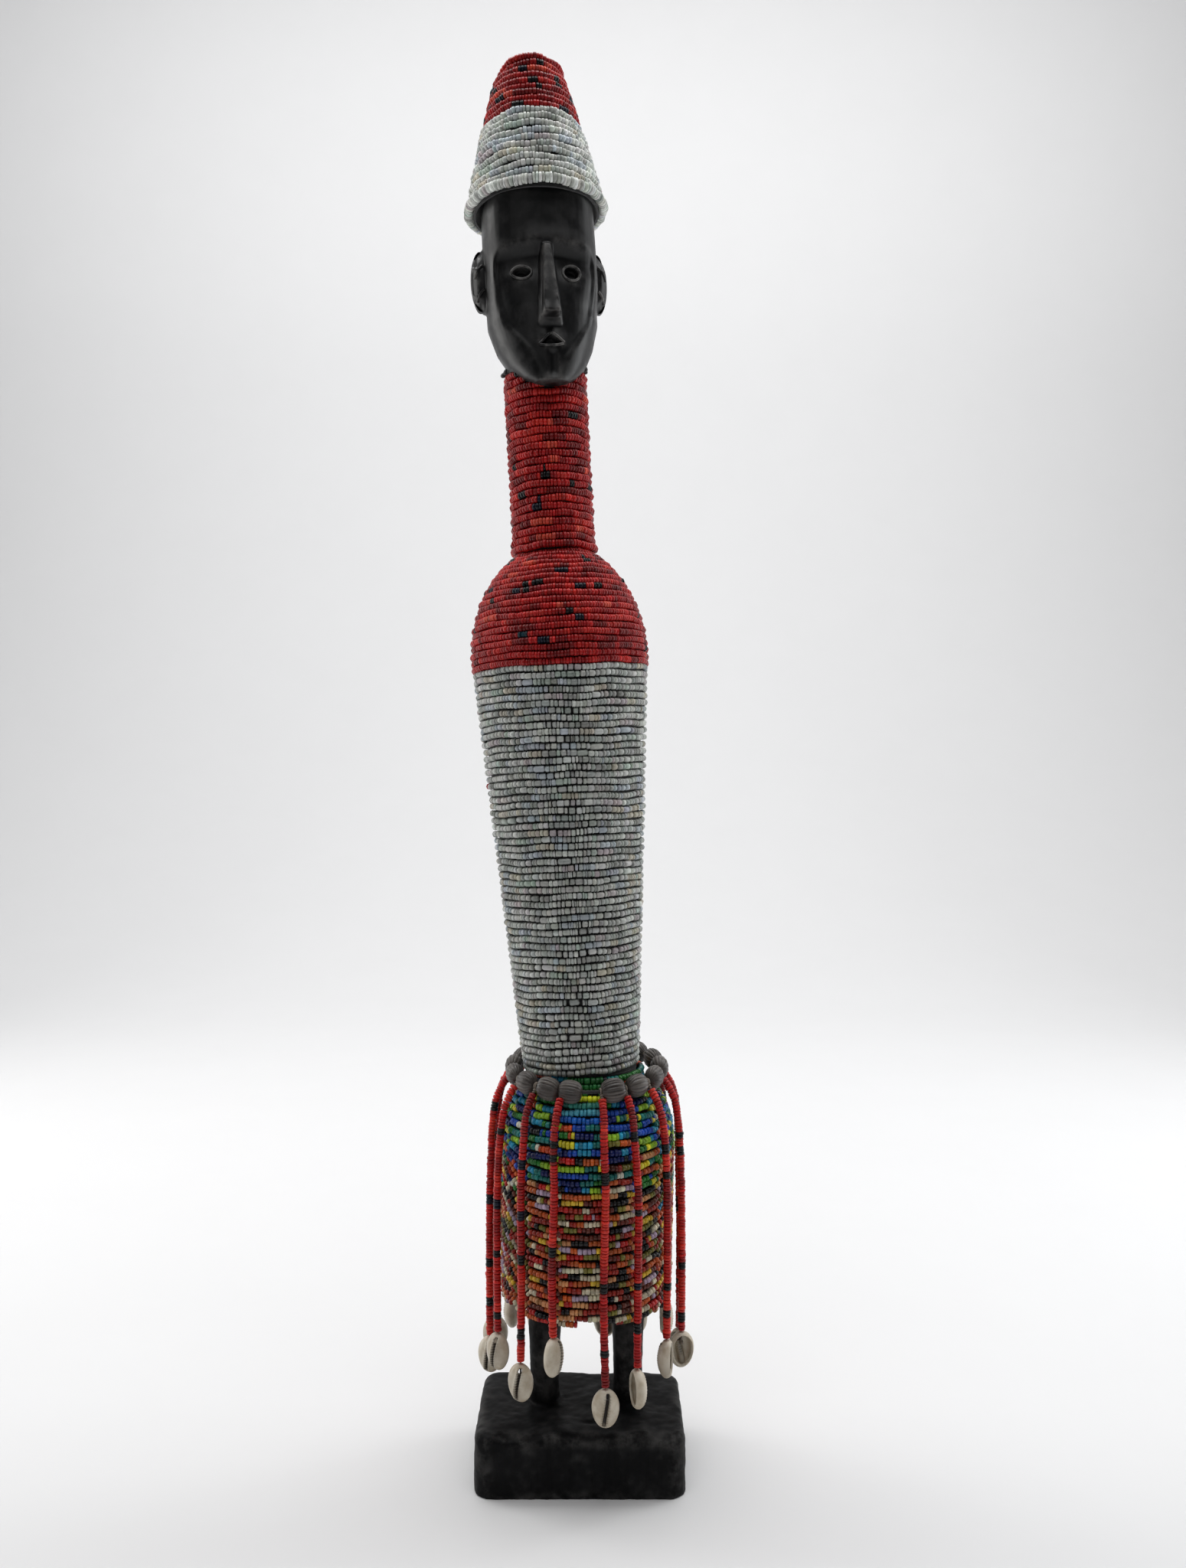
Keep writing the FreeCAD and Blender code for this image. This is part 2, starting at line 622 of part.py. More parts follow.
def make_cap_beads(doc):
    """Grey rows, red rows up and over the top, and the thick roll round the rim."""
    get = doc.sizes.get
    grey, red = cap_paths(get)
    roll = doc.addObject("Part::Torus", "cap_brim_beads")
    bind(roll, Radius1="head_width / 2 + rim_gap + lining_wall + bead_gap + brim_roll / 2",
         Radius2="brim_roll / 2")
    roll.Placement = cap_place(get).multiply(Placement(Vector(0, 0, get("brim_roll") / 2), Rotation()))
    return [node(doc, "cap_grey_beads", bead_rows(get, grey), cap_place(get)),
            node(doc, "cap_red_beads", bead_rows(get, red), cap_place(get)), roll]


# Fringe

def strand_route(get, belt, shell_top):
    """A strand's route from the belt cord to its last bead: out, up, and share of the sideways hang."""
    clear = skirt_radius(get) + get("strand_radius") + get("strand_clearance")
    end = shell_top + get("shell_drop")
    half_way = (belt - 48.0 + end) / 2
    return [
        (get("belt_radius"), belt, 0.0),
        (clear - 4.0, belt - 9.0, 0.05),
        (clear - 1.0, belt - 24.0, 0.2),
        (clear, belt - 48.0, 0.6),
        (clear + 0.7, half_way, 1.0),
        (clear + 0.2, end, 0.3),
    ]


def strand_points(get, strand):
    angle, shell_top, sideways, _ = strand
    route = strand_route(get, belt_height(get, angle), shell_top)
    return [spot(out, up, angle, share * sideways) for out, up, share in route]


def rounded_path(points):
    """Straight runs joined by the largest tangent arcs that fit: the path's edges and its arcs' radii."""
    edges, radii, here = [], [], points[0]
    for before, corner, after in zip(points, points[1:], points[2:]):
        back, ahead = (before - corner), (after - corner)
        half_turn = (math.pi - back.getAngle(ahead)) / 2
        cut = 0.45 * min(back.Length, ahead.Length)
        start, end = corner + back.normalize() * cut, corner + ahead.normalize() * cut
        radius = cut / math.tan(half_turn)
        inward = (start + end) * 0.5 - corner
        middle = corner + inward.normalize() * (radius / math.cos(half_turn) - radius)
        edges += [Part.LineSegment(here, start).toShape(), Part.Arc(start, middle, end).toShape()]
        radii.append(radius)
        here = end
    return edges + [Part.LineSegment(here, points[-1]).toShape()], radii


def tube(path, radius):
    """A round tube along a path's edges, whose volume is compared with its section times its length."""
    spine = Part.Wire(path)
    start = path[0].Vertexes[0].Point
    profile = Part.Wire(Part.makeCircle(radius, start, path[0].Vertexes[1].Point - start))
    shape = spine.makePipeShell([profile], True, True)
    expected = math.pi * radius ** 2 * spine.Length
    if abs(shape.Volume - expected) > 0.01 * expected:
        raise RuntimeError(f"strand tube holds {shape.Volume:.1f} and not {expected:.1f}")
    return shape


def strand_shape(get, strand):
    """Loop round the belt cord, thread, bead string, tail and knot."""
    points = strand_points(get, strand)
    first = (points[1] - points[0]).normalize()
    start = points[0] + first * get("strand_start")
    path, radii = rounded_path([start] + points[1:])
    beads = tube(path, get("strand_radius"))
    tangent = spot(0, 0, strand[0], 1.0)
    loop = Part.makeTorus(get("loop_radius"), get("thread_radius"), points[0], tangent)
    from_loop = points[0] + first * get("loop_radius")
    thread = Part.makeCylinder(get("thread_radius"), (start - from_loop).Length + 1.0, from_loop, first)
    knot_drop = get("shell_drop") + knot_depth(get)
    down = Vector(0, 0, -1)
    tail = Part.makeCylinder(get("thread_radius"), knot_drop + 1.0, points[-1] - down, down)
    knot = Part.makeSphere(get("knot_radius"), points[-1] + down * knot_drop)
    return beads.fuse([loop, thread, tail, knot]), radii


def knot_depth(get):
    """Below the cowrie's top, where the hollow is just deep enough for the knot."""
    back = (1 - BELLY_SHARE) * get("shell_depth")
    share = (back + get("knot_radius") + 3 * get("bead_gap")) / (get("shell_depth") - get("shell_wall"))
    half_long = get("shell_length") / 2 - get("shell_wall")
    return get("shell_wall") + half_long * (1 - math.sqrt(1 - share ** 2))


def cowrie_shape(get):
    """A cowrie with its back cut off, hanging from the origin with its toothed mouth towards -Y."""
    half_long, half_wide = get("shell_length") / 2, get("shell_width") / 2
    belly = BELLY_SHARE * get("shell_depth")
    back = get("shell_depth") - belly
    wall = get("shell_wall")

    def egg(across, deep, tall, middle):
        stretch = FreeCAD.Matrix()
        stretch.scale(across, deep, tall)
        shape = Part.makeSphere(1.0).transformGeometry(stretch)
        shape.translate(middle)
        return shape

    centre = Vector(0, 0, -half_long)
    outer = egg(half_wide, belly, half_long, centre)
    hollow = egg(half_wide - wall, back + belly - wall, half_long - wall, centre + Vector(0, back, 0))
    cut = Part.makeBox(4 * half_wide, belly, 2 * half_long, Vector(-2 * half_wide, back, -2 * half_long))
    slit = Part.makeBox(get("shell_slit"), belly, 1.44 * half_long,
                        Vector(-get("shell_slit") / 2, -2 * belly + wall, -1.78 * half_long))
    hole = Part.makeCylinder(get("shell_hole"), half_long, Vector(0, 0, -half_long))
    return outer.cut([hollow, cut, slit, hole])


def make_fringe(doc):
    """Every strand and the cowrie on its end."""
    get = doc.sizes.get
    cowrie = cowrie_shape(get)
    made = []
    for number, strand in enumerate(STRANDS, start=1):
        angle, shell_top, _, turn = strand
        shape, radii = strand_shape(get, strand)
        print(f"strand {number:02d} radii", " ".join(f"{r:.0f}" for r in radii))
        made.append(node(doc, f"strand_{number:02d}", shape, hips(get)))
        hook = strand_points(get, strand)[-1] - Vector(0, 0, get("shell_drop"))
        shell = node(doc, f"cowrie_{number:02d}", cowrie.copy())
        shell.Placement = hips(get).multiply(Placement(hook, Rotation(Vector(0, 0, 1), angle + turn)))
        made.append(shell)
    return made


def build():
    """The whole document: every sub-part by its label."""
    doc = FreeCAD.newDocument("fertility_doll")
    make_sheet(doc)
    parts = [make_carved_figure(doc), make_torso_wrap(doc), make_shoulder_wrap(doc), make_neck_wrap(doc),
             make_neck_cord(doc), make_hip_padding(doc), make_skirt_wrap(doc), make_belt_cord(doc),
             make_belt_seeds(doc), make_cap_lining(doc)]
    parts += make_cap_beads(doc) + make_fringe(doc)
    doc.recompute()
    return doc, parts


def check(doc, parts):
    """Stops if an object failed to recompute or a sub-part's shape isn't a valid solid."""
    for thing in doc.Objects:
        if {"Invalid", "Error"} & set(thing.State):
            raise RuntimeError(f"{thing.Label} failed: {thing.State}")
    for part in parts:
        shape = part.Shape
        if shape.isNull() or not shape.isValid() or not shape.Solids or shape.Volume <= 0:
            raise RuntimeError(f"{part.Label} isn't a valid solid")


def export(parts):
    os.makedirs("parts", exist_ok=True)
    for part in parts:
        part.Shape.exportStep(os.path.join("parts", f"{part.Label}.step"))


DOC, PARTS = build()
check(DOC, PARTS)
export(PARTS)
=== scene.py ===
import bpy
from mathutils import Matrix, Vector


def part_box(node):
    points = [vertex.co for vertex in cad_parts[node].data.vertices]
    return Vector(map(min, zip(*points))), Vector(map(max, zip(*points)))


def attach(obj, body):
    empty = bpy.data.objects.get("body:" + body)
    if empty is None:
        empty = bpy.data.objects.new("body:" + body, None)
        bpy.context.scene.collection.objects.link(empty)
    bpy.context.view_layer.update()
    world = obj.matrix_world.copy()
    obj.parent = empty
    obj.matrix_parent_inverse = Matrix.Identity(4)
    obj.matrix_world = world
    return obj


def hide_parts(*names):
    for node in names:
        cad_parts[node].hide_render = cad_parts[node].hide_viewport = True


bl_info = {
    "name": "Beaded Doll",
    "version": (1, 0, 0),
    "blender": (4, 5, 0),
    "location": "View3D > Sidebar > Beaded Doll",
    "description": "Builds a carved doll with bead wraps, a bead cap and a fringe of shells",
    "category": "Object",
}

import math

import bpy
import numpy as np
from bpy.props import FloatProperty, FloatVectorProperty, IntProperty, PointerProperty
from mathutils import Matrix, Vector

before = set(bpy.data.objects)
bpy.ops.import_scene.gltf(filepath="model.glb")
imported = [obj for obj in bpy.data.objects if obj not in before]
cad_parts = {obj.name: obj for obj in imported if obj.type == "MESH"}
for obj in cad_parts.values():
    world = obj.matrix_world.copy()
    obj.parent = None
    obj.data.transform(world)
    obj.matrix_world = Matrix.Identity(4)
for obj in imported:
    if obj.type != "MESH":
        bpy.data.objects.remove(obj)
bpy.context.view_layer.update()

MM = 0.001
TAU = 2 * math.pi

# Places of the doll's parts, in the frame's own metres
LEAN = Matrix.Rotation(math.radians(-3.05), 4, "Y")
BUST = Matrix.Translation((0.0005, 0.005, 0.203)) @ LEAN
HIPS = Matrix.Translation((0.003, 0.005, 0.0))
HEAD = BUST @ Matrix.Translation((0, 0, 0.3535)) @ Matrix.Rotation(math.radians(10), 4, "Z")
CAP = BUST @ Matrix.Translation((0, 0, 0.440))
BELT = HIPS @ Matrix.Translation((0, 0, 0.2015)) @ Matrix.Rotation(math.radians(5), 4, "X")

# Each strand's degrees from the front towards the right, height of its shell's top, sideways hang
# and the turn of its shell
STRANDS = [
    (-18, 83, -0.6, 84), (11.5, 59.5, -1.4, -12), (30, 66, 0.5, 76), (53, 74, 1.2, 205),
    (78, 69.5, -0.8, 118), (100, 62, 0.9, 20), (122, 70, -1.1, -30), (145, 64, 0.7, 160),
    (168, 58, -0.5, 10), (190, 68, 1.3, 95), (212, 61, -0.9, -20), (234, 72, 0.6, 35),
    (256, 67, -1.2, 100), (276, 64.5, 0.8, 62), (298, 74.5, -1.0, 24), (320, 66.5, 1.1, 14),
]
BELT_RADIUS, BELT_MIDDLE, BELT_SAG = 37.8, 201.5, 3.29
THREAD_RADIUS = 0.00045
# Half a cowrie's height, in millimetres
COWRIE_HALF = 9.35
# How far a bead's middle lies out from what it is wound on, in millimetres
BEAD_REST = 2.05

# Height, half width, half depth and forward place of the head's sections, in millimetres
HEAD_SECTIONS = [
    (-12.4, 4.4, 3.4, 23.6), (-11.2, 8.3, 6.9, 22.6), (-7.5, 13.3, 12.6, 16.8), (0, 19.7, 21.0, 9.0),
    (10.9, 24.7, 25.8, 4.2), (24.6, 28.4, 28.8, 1.2), (57.3, 29, 30, 0), (81.9, 28.7, 29.7, 0),
    (95.5, 28.5, 29.5, 0),
    (109.2, 27.2, 28.1, 0), (122.9, 23.4, 24.2, 0), (132.4, 17.6, 18.2, 0), (136.5, 13.0, 13.5, 0),
]

# Height of the crown over the head's own origin, in metres, and how far all below it is drawn up towards it
CROWN, HEAD_SQUEEZE = 0.1365, 0.972

GREYS = [(0.70, 0.71, 0.69), (0.76, 0.77, 0.75), (0.63, 0.65, 0.63), (0.66, 0.69, 0.71),
         (0.70, 0.68, 0.62), (0.68, 0.65, 0.65), (0.56, 0.57, 0.55), (0.65, 0.70, 0.66)]
GREY_SHARES = [0.34, 0.20, 0.14, 0.09, 0.08, 0.05, 0.06, 0.04]
REDS = [(0.66, 0.10, 0.10), (0.58, 0.07, 0.08), (0.73, 0.15, 0.13), (0.45, 0.05, 0.06), (0.80, 0.28, 0.21)]
RED_SHARES = [0.40, 0.27, 0.16, 0.13, 0.04]
DARKS = [(0.03, 0.035, 0.045), (0.035, 0.06, 0.13), (0.05, 0.20, 0.24)]
SKIRT_TOP = [(0.07, 0.26, 0.62), (0.05, 0.11, 0.34), (0.12, 0.52, 0.66), (0.10, 0.42, 0.40),
             (0.13, 0.42, 0.15), (0.55, 0.72, 0.16), (0.80, 0.76, 0.16), (0.72, 0.28, 0.13),
             (0.80, 0.80, 0.74), (0.04, 0.05, 0.07)]
SKIRT_TOP_SHARES = [0.20, 0.13, 0.13, 0.12, 0.12, 0.09, 0.06, 0.05, 0.03, 0.07]
SKIRT_LOW = [(0.56, 0.14, 0.09), (0.72, 0.33, 0.13), (0.36, 0.15, 0.10), (0.04, 0.04, 0.05),
             (0.80, 0.77, 0.66), (0.44, 0.42, 0.17), (0.82, 0.68, 0.20), (0.67, 0.60, 0.68),
             (0.66, 0.10, 0.09), (0.78, 0.55, 0.36)]
SKIRT_LOW_SHARES = [0.20, 0.16, 0.11, 0.11, 0.10, 0.07, 0.07, 0.05, 0.07, 0.06]
# The rows that show in the gap of the belt, from the waist down
GAP_ROWS = [(0.13, 0.42, 0.20), (0.80, 0.82, 0.14), (0.24, 0.56, 0.50), (0.30, 0.62, 0.70),
            (0.08, 0.34, 0.66)]
STRAND_REDS = [(0.72, 0.09, 0.075), (0.63, 0.07, 0.07), (0.80, 0.18, 0.13), (0.50, 0.05, 0.055)]
STRAND_SHARES = [0.46, 0.28, 0.18, 0.08]
STRAY_RED = (0.72, 0.20, 0.13)
# How much paler the cap's grey beads are than the body's
CAP_PALER = 1.35
# Side of each eye, half width and half height of its rim, and how far its outer corner is drawn out
EYES = ((-1, 4.9, 3.7, 1.0), (1, 4.6, 4.3, 0.2))
EYE_OUT, EYE_UP = 13.0, 57.4
# The face is laid out in its own millimetres: the head's, times this, and lifted by this
FACE_SCALE, FACE_LIFT = 1.05, 10.6

CAMERA_PLACE, CAMERA_LENS, CAMERA_SENSOR = (0.0065, -0.611, 0.3484), 27.25, 36
PAPER_SIZE, PAPER_RISE, PAPER_CURVE = (12.0, 4.4, 1), 3.2, 1.5
# Brightness of the world as the lens sees it, over what lights the doll
WORLD_COLOUR, WORLD_SEEN, WORLD_LIGHT = (0.93, 0.94, 0.96, 1), 0.74, 0.08
# Name, place, aim, width, height, power and colour of each lamp
LAMPS = (
    ("left softbox", (-1.15, 0.38, 0.55), (0, 0, 0.40), 0.60, 1.4, 7.0, (1.0, 0.99, 0.97)),
    ("right softbox", (1.15, 0.34, 0.55), (0, 0, 0.40), 0.60, 1.4, 7.0, (0.97, 0.99, 1.0)),
    ("overhead softbox", (0.0, -0.26, 1.60), (0, 0, 0.3), 1.3, 1.1, 12.5, (1.0, 1.0, 1.0)),
    ("front fill", (-0.45, -1.7, 0.95), (0, 0, 0.3), 1.2, 1.0, 1.2, (1.0, 0.985, 0.97)),
    ("paper light", (0.0, 0.75, 2.6), (0, 2.5, 0.5), 3.6, 1.0, 71.0, (1.0, 1.0, 1.0)),
)


class DollSizes(bpy.types.PropertyGroup):
    """Sizes that change the beadwork and the carving."""
    row_pitch: FloatProperty(name="Row pitch", description="Height of one row of grey beads",
                             default=0.00354, min=0.002, max=0.006, unit="LENGTH", precision=5)
    bead_length: FloatProperty(name="Grey bead length",
                               description="Usual length of a grey bead along its row",
                               default=0.0023, min=0.001, max=0.006, unit="LENGTH", precision=5)
    disc_length: FloatProperty(name="Red bead length",
                               description="Usual length of a thin red bead along its row",
                               default=0.00155, min=0.001, max=0.006, unit="LENGTH", precision=5)
    waviness: FloatProperty(name="Waviness", description="How far the rows wander up and down",
                            default=0.00045, min=0.0, max=0.002, unit="LENGTH", precision=5)
    strand_thickness: FloatProperty(name="Strand thickness",
                                    description="Thickness of a hanging string of beads",
                                    default=0.0039, min=0.002, max=0.006, unit="LENGTH", precision=5)
    carving_detail: FloatProperty(name="Carving detail",
                                  description="Size of the mesh's cells on the carved head",
                                  default=0.00062, min=0.0004, max=0.003, unit="LENGTH", precision=5)
    seed: IntProperty(name="Seed", description="Picks another scatter of beads", default=7, min=0)


class DollColours(bpy.types.PropertyGroup):
    """Finishes of the wood, cord, seeds, shells and floor."""
    wood: FloatVectorProperty(name="Wood", description="Stained black wood", subtype="COLOR",
                              default=(0.0032, 0.0032, 0.0036), min=0, max=1)
    worn_wood: FloatVectorProperty(name="Worn wood", description="Wood rubbed thin along the edges",
                                   subtype="COLOR", default=(0.13, 0.125, 0.12), min=0, max=1)
    twine: FloatVectorProperty(name="Twine", description="Dark waxed cord between the rows", subtype="COLOR",
                               default=(0.012, 0.011, 0.012), min=0, max=1)
    seeds: FloatVectorProperty(name="Belt seeds", description="Dry seeds on the belt", subtype="COLOR",
                               default=(0.030, 0.024, 0.021), min=0, max=1)
    shell: FloatVectorProperty(name="Shell", description="Weathered cowrie shell", subtype="COLOR",
                               default=(0.66, 0.60, 0.49), min=0, max=1)
    floor: FloatVectorProperty(name="Floor", description="Pale studio paper", subtype="COLOR",
                               default=(0.735, 0.735, 0.74), min=0, max=1)


# Small tools

def linear(colours):
    """Display colours as the renderer's linear ones."""
    c = np.asarray(colours, float)
    return np.where(c <= 0.04045, c / 12.92, ((c + 0.055) / 1.055) ** 2.4)


def step(low, high, value):
    """0 up to low, 1 from high on, and a soft rise between them."""
    t = np.clip((value - low) / (high - low), 0, 1)
    return t * t * (3 - 2 * t)


def clear_selection():
    if bpy.context.object and bpy.context.object.mode != "OBJECT":
        bpy.ops.object.mode_set(mode="OBJECT")
    bpy.ops.object.select_all(action="DESELECT")


def select_only(obj):
    clear_selection()
    obj.select_set(True)
    bpy.context.view_layer.objects.active = obj


def fix_place(obj):
    """Moves a piece's place, turn and scale into its mesh."""
    select_only(obj)
    bpy.ops.object.transform_apply(location=True, rotation=True, scale=True)


def edit(obj, edges=None, faces=None):
    """Opens a piece for editing with only the given edges or faces selected, or all of it."""
    select_only(obj)
    mesh = obj.data
    chosen = [None, edges, faces]
    kind = next((k for k, picked in enumerate(chosen) if picked is not None), 0)
    bpy.context.tool_settings.mesh_select_mode = tuple(k == kind for k in range(3))
    if all(picked is None for picked in chosen):
        bpy.ops.object.mode_set(mode="EDIT")
        bpy.ops.mesh.select_all(action="SELECT")
        return
    for layer, picked in zip((mesh.vertices, mesh.edges, mesh.polygons), chosen):
        marks = np.zeros(len(layer), bool) if picked is None else np.asarray(picked, bool)
        layer.foreach_set("select", marks)
    if edges is not None:
        pairs = np.empty(2 * len(mesh.edges), int)
        mesh.edges.foreach_get("vertices", pairs)
        marks = np.zeros(len(mesh.vertices), bool)
        marks[pairs.reshape(-1, 2)[np.asarray(edges, bool)].ravel()] = True
        mesh.vertices.foreach_set("select", marks)
    bpy.ops.object.mode_set(mode="EDIT")


def leave_edit():
    bpy.ops.object.mode_set(mode="OBJECT")


def points_of(mesh):
    found = np.empty(3 * len(mesh.vertices))
    mesh.vertices.foreach_get("co", found)
    return found.reshape(-1, 3)


def move_points(mesh, points):
    mesh.vertices.foreach_set("co", np.ascontiguousarray(points, float).ravel())
    mesh.update()


def write_values(mesh, name, values):
    """Writes one number for each point as a named attribute."""
    mesh.attributes.new(name, "FLOAT", "POINT").data.foreach_set("value", values)


def apply_modifier(obj, kind, **values):
    """Adds one modifier with its values and applies it."""
    select_only(obj)
    added = obj.modifiers.new(kind.lower(), kind)
    for name, value in values.items():
        setattr(added, name, value)
    bpy.ops.object.modifier_apply(modifier=added.name)


def join(pieces, name):
    clear_selection()
    for piece in pieces:
        piece.select_set(True)
    bpy.context.view_layer.objects.active = pieces[0]
    bpy.ops.object.join()
    pieces[0].name = name
    return pieces[0]


def settle(obj, place=None):
    """Puts a piece at its place, with the place in its mesh, and turns its faces outwards."""
    if place is not None:
        obj.matrix_world = place @ obj.matrix_world
    fix_place(obj)
    edit(obj)
    bpy.ops.mesh.normals_make_consistent(inside=False)
    leave_edit()
    return obj


def smooth(obj, angle):
    select_only(obj)
    bpy.ops.object.shade_smooth_by_angle(angle=math.radians(angle))


def finish_piece(obj, name, body, material, slot, *nodes):
    """Names a finished piece, gives it its material and its body, and hides the CAD nodes it stands for."""
    obj.name = name
    obj.data.name = name
    obj.data.materials.clear()
    obj.data.materials.append(material)
    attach(obj, body)
    if nodes:
        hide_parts(*nodes)
    return obj


def loft(sections, sides):
    """Extrudes a ring through sections of (x, y, z, half width, half depth) in metres, with closed ends."""
    clear_selection()
    x, y, z, wide, deep = sections[0]
    bpy.ops.mesh.primitive_circle_add(vertices=sides, radius=wide, fill_type="NGON", location=(x, y, z))
    obj = bpy.context.object
    bpy.ops.object.mode_set(mode="EDIT")
    bpy.ops.mesh.select_all(action="SELECT")
    bpy.ops.transform.resize(value=(1, deep / wide, 1), center_override=(x, y, z))
    for nx, ny, nz, nwide, ndeep in sections[1:]:
        bpy.ops.mesh.extrude_region_move(TRANSFORM_OT_translate={"value": (nx - x, ny - y, nz - z)})
        bpy.ops.transform.resize(value=(nwide / wide, ndeep / deep, 1), center_override=(nx, ny, nz))
        x, y, z, wide, deep = nx, ny, nz, nwide, ndeep
    bpy.ops.mesh.select_all(action="SELECT")
    bpy.ops.mesh.normals_make_consistent(inside=False)
    leave_edit()
    return settle(obj)


def turned(profile, sides, place):
    """A round body through (height, radius), in millimetres, at its place."""
    return settle(loft([(0, 0, up * MM, radius * MM, radius * MM) for up, radius in profile], sides), place)


def torus(radius, thick, around, across, place=(0, 0, 0), turn=(0, 0, 0)):
    """A ring of round section, with its points counted around and across, in metres."""
    clear_selection()
    bpy.ops.mesh.primitive_torus_add(major_radius=radius, minor_radius=thick, major_segments=around,
                                     minor_segments=across, location=place, rotation=turn)
    return bpy.context.object


def round_line(points, thick, closed=False):
    """A smooth round ridge of wood through points, as a mesh, in metres."""
    line = bpy.data.curves.new("line", "CURVE")
    line.dimensions = "3D"
    line.bevel_depth = thick / 2
    line.bevel_resolution = 2
    line.resolution_u = 4
    line.use_fill_caps = True
    spline = line.splines.new("NURBS")
    spline.points.add(len(points) - 1)
    for point, place in zip(spline.points, points):
        point.co = (*place, 1)
    spline.order_u = 3
    spline.use_cyclic_u = closed
    spline.use_endpoint_u = not closed
    obj = bpy.data.objects.new("line", line)
    bpy.context.collection.objects.link(obj)
    select_only(obj)
    bpy.ops.object.convert(target="MESH")
    return bpy.context.object


def twist(obj, radius, thick, turns, depth):
    """Turns a plain ring round Z into a laid cord of two plies."""
    p = points_of(obj.data)
    around = np.arctan2(p[:, 1], p[:, 0])
    out = np.hypot(p[:, 0], p[:, 1]) - radius
    section = np.arctan2(p[:, 2], out)
    swell = thick / 2 * (1 - depth / 2 + depth * np.abs(np.cos(section - turns * around)))
    out, up = swell * np.cos(section), swell * np.sin(section)
    p = np.stack([(radius + out) * np.cos(around), (radius + out) * np.sin(around), up], 1)
    move_points(obj.data, p)


# Materials

def new_group(name, inputs, outputs):
    tree = bpy.data.node_groups.new(name, "ShaderNodeTree")
    for label, value in inputs:
        tree.interface.new_socket(label, in_out="INPUT", socket_type="NodeSocketFloat").default_value = value
    for label, kind in outputs:
        tree.interface.new_socket(label, in_out="OUTPUT", socket_type=kind)
    return tree, tree.nodes.new("NodeGroupInput"), tree.nodes.new("NodeGroupOutput")


def add(tree, kind, _links=None, **values):
    """A node with its properties and inputs set. A link is given as an output socket."""
    made = tree.nodes.new(kind)
    for name, value in values.items():
        setattr(made, name, value)
    for name, value in (_links or {}).items():
        if isinstance(value, bpy.types.NodeSocket):
            tree.links.new(value, made.inputs[name])
        else:
            made.inputs[name].default_value = value
    return made


def speck_group():
    """Soft patches of dirt or wear, from nothing at Low to full at High."""
    tree, given, out = new_group("patchy wear", [("Scale", 60), ("Low", 0.4), ("High", 0.7)],
                                 [("Mask", "NodeSocketFloat")])
    place = add(tree, "ShaderNodeTexCoord")
    broad = add(tree, "ShaderNodeTexNoise", {
        "Vector": place.outputs["Object"], "Scale": given.outputs["Scale"], "Detail": 5.0, "Roughness": 0.62})
    mask = add(tree, "ShaderNodeMapRange", {
        "Value": broad.outputs["Fac"], "From Min": given.outputs["Low"],
        "From Max": given.outputs["High"]}, interpolation_type="SMOOTHSTEP")
    tree.links.new(mask.outputs["Result"], out.inputs["Mask"])
    return tree


def grain_group():
    """Long fine lines along Z, as a height and a mask."""
    tree, given, out = new_group("wood grain", [("Scale", 260), ("Stretch", 0.08)],
                                 [("Height", "NodeSocketFloat"), ("Mask", "NodeSocketFloat")])
    place = add(tree, "ShaderNodeTexCoord")
    squeeze = add(tree, "ShaderNodeCombineXYZ", {"X": 1.0, "Y": 1.0, "Z": given.outputs["Stretch"]})
    scaled = add(tree, "ShaderNodeVectorMath", {0: place.outputs["Object"], 1: squeeze.outputs["Vector"]},
                 operation="MULTIPLY")
    lines = add(tree, "ShaderNodeTexNoise", {
        "Vector": scaled.outputs["Vector"], "Scale": given.outputs["Scale"],
        "Detail": 4.0, "Roughness": 0.6, "Distortion": 0.4})
    pores = add(tree, "ShaderNodeMapRange", {
        "Value": lines.outputs["Fac"], "From Min": 0.52, "From Max": 0.72})
    tree.links.new(lines.outputs["Fac"], out.inputs["Height"])
    tree.links.new(pores.outputs["Result"], out.inputs["Mask"])
    return tree


def use(tree, group, **values):
    node = tree.nodes.new("ShaderNodeGroup")
    node.node_tree = group
    for name, value in values.items():
        node.inputs[name].default_value = value
    return node


def blank_material(name, roughness=0.5, **values):
    made = bpy.data.materials.new(name)
    made.use_nodes = True
    tree = made.node_tree
    shader = tree.nodes["Principled BSDF"]
    shader.inputs["Roughness"].default_value = roughness
    for label, value in values.items():
        shader.inputs[label.replace("_", " ")].default_value = value
    return made, tree, shader


def mix_colour(tree, mask, first, second):
    """Colour that goes from the first to the second where the mask is white."""
    node = add(tree, "ShaderNodeMix", data_type="RGBA")
    for socket, value in ((node.inputs[0], mask), (node.inputs[6], first), (node.inputs[7], second)):
        if isinstance(value, bpy.types.NodeSocket):
            tree.links.new(value, socket)
        else:
            socket.default_value = (*value, 1) if len(value) == 3 else value
    return node.outputs[2]


def spread(tree, value, low, high):
    return add(tree, "ShaderNodeMapRange", {"Value": value, "To Min": low, "To Max": high}).outputs["Result"]


def add_bump(tree, shader, height, strength, distance):
    bump = add(tree, "ShaderNodeBump", {"Height": height, "Strength": strength, "Distance": distance})
    tree.links.new(bump.outputs["Normal"], shader.inputs["Normal"])


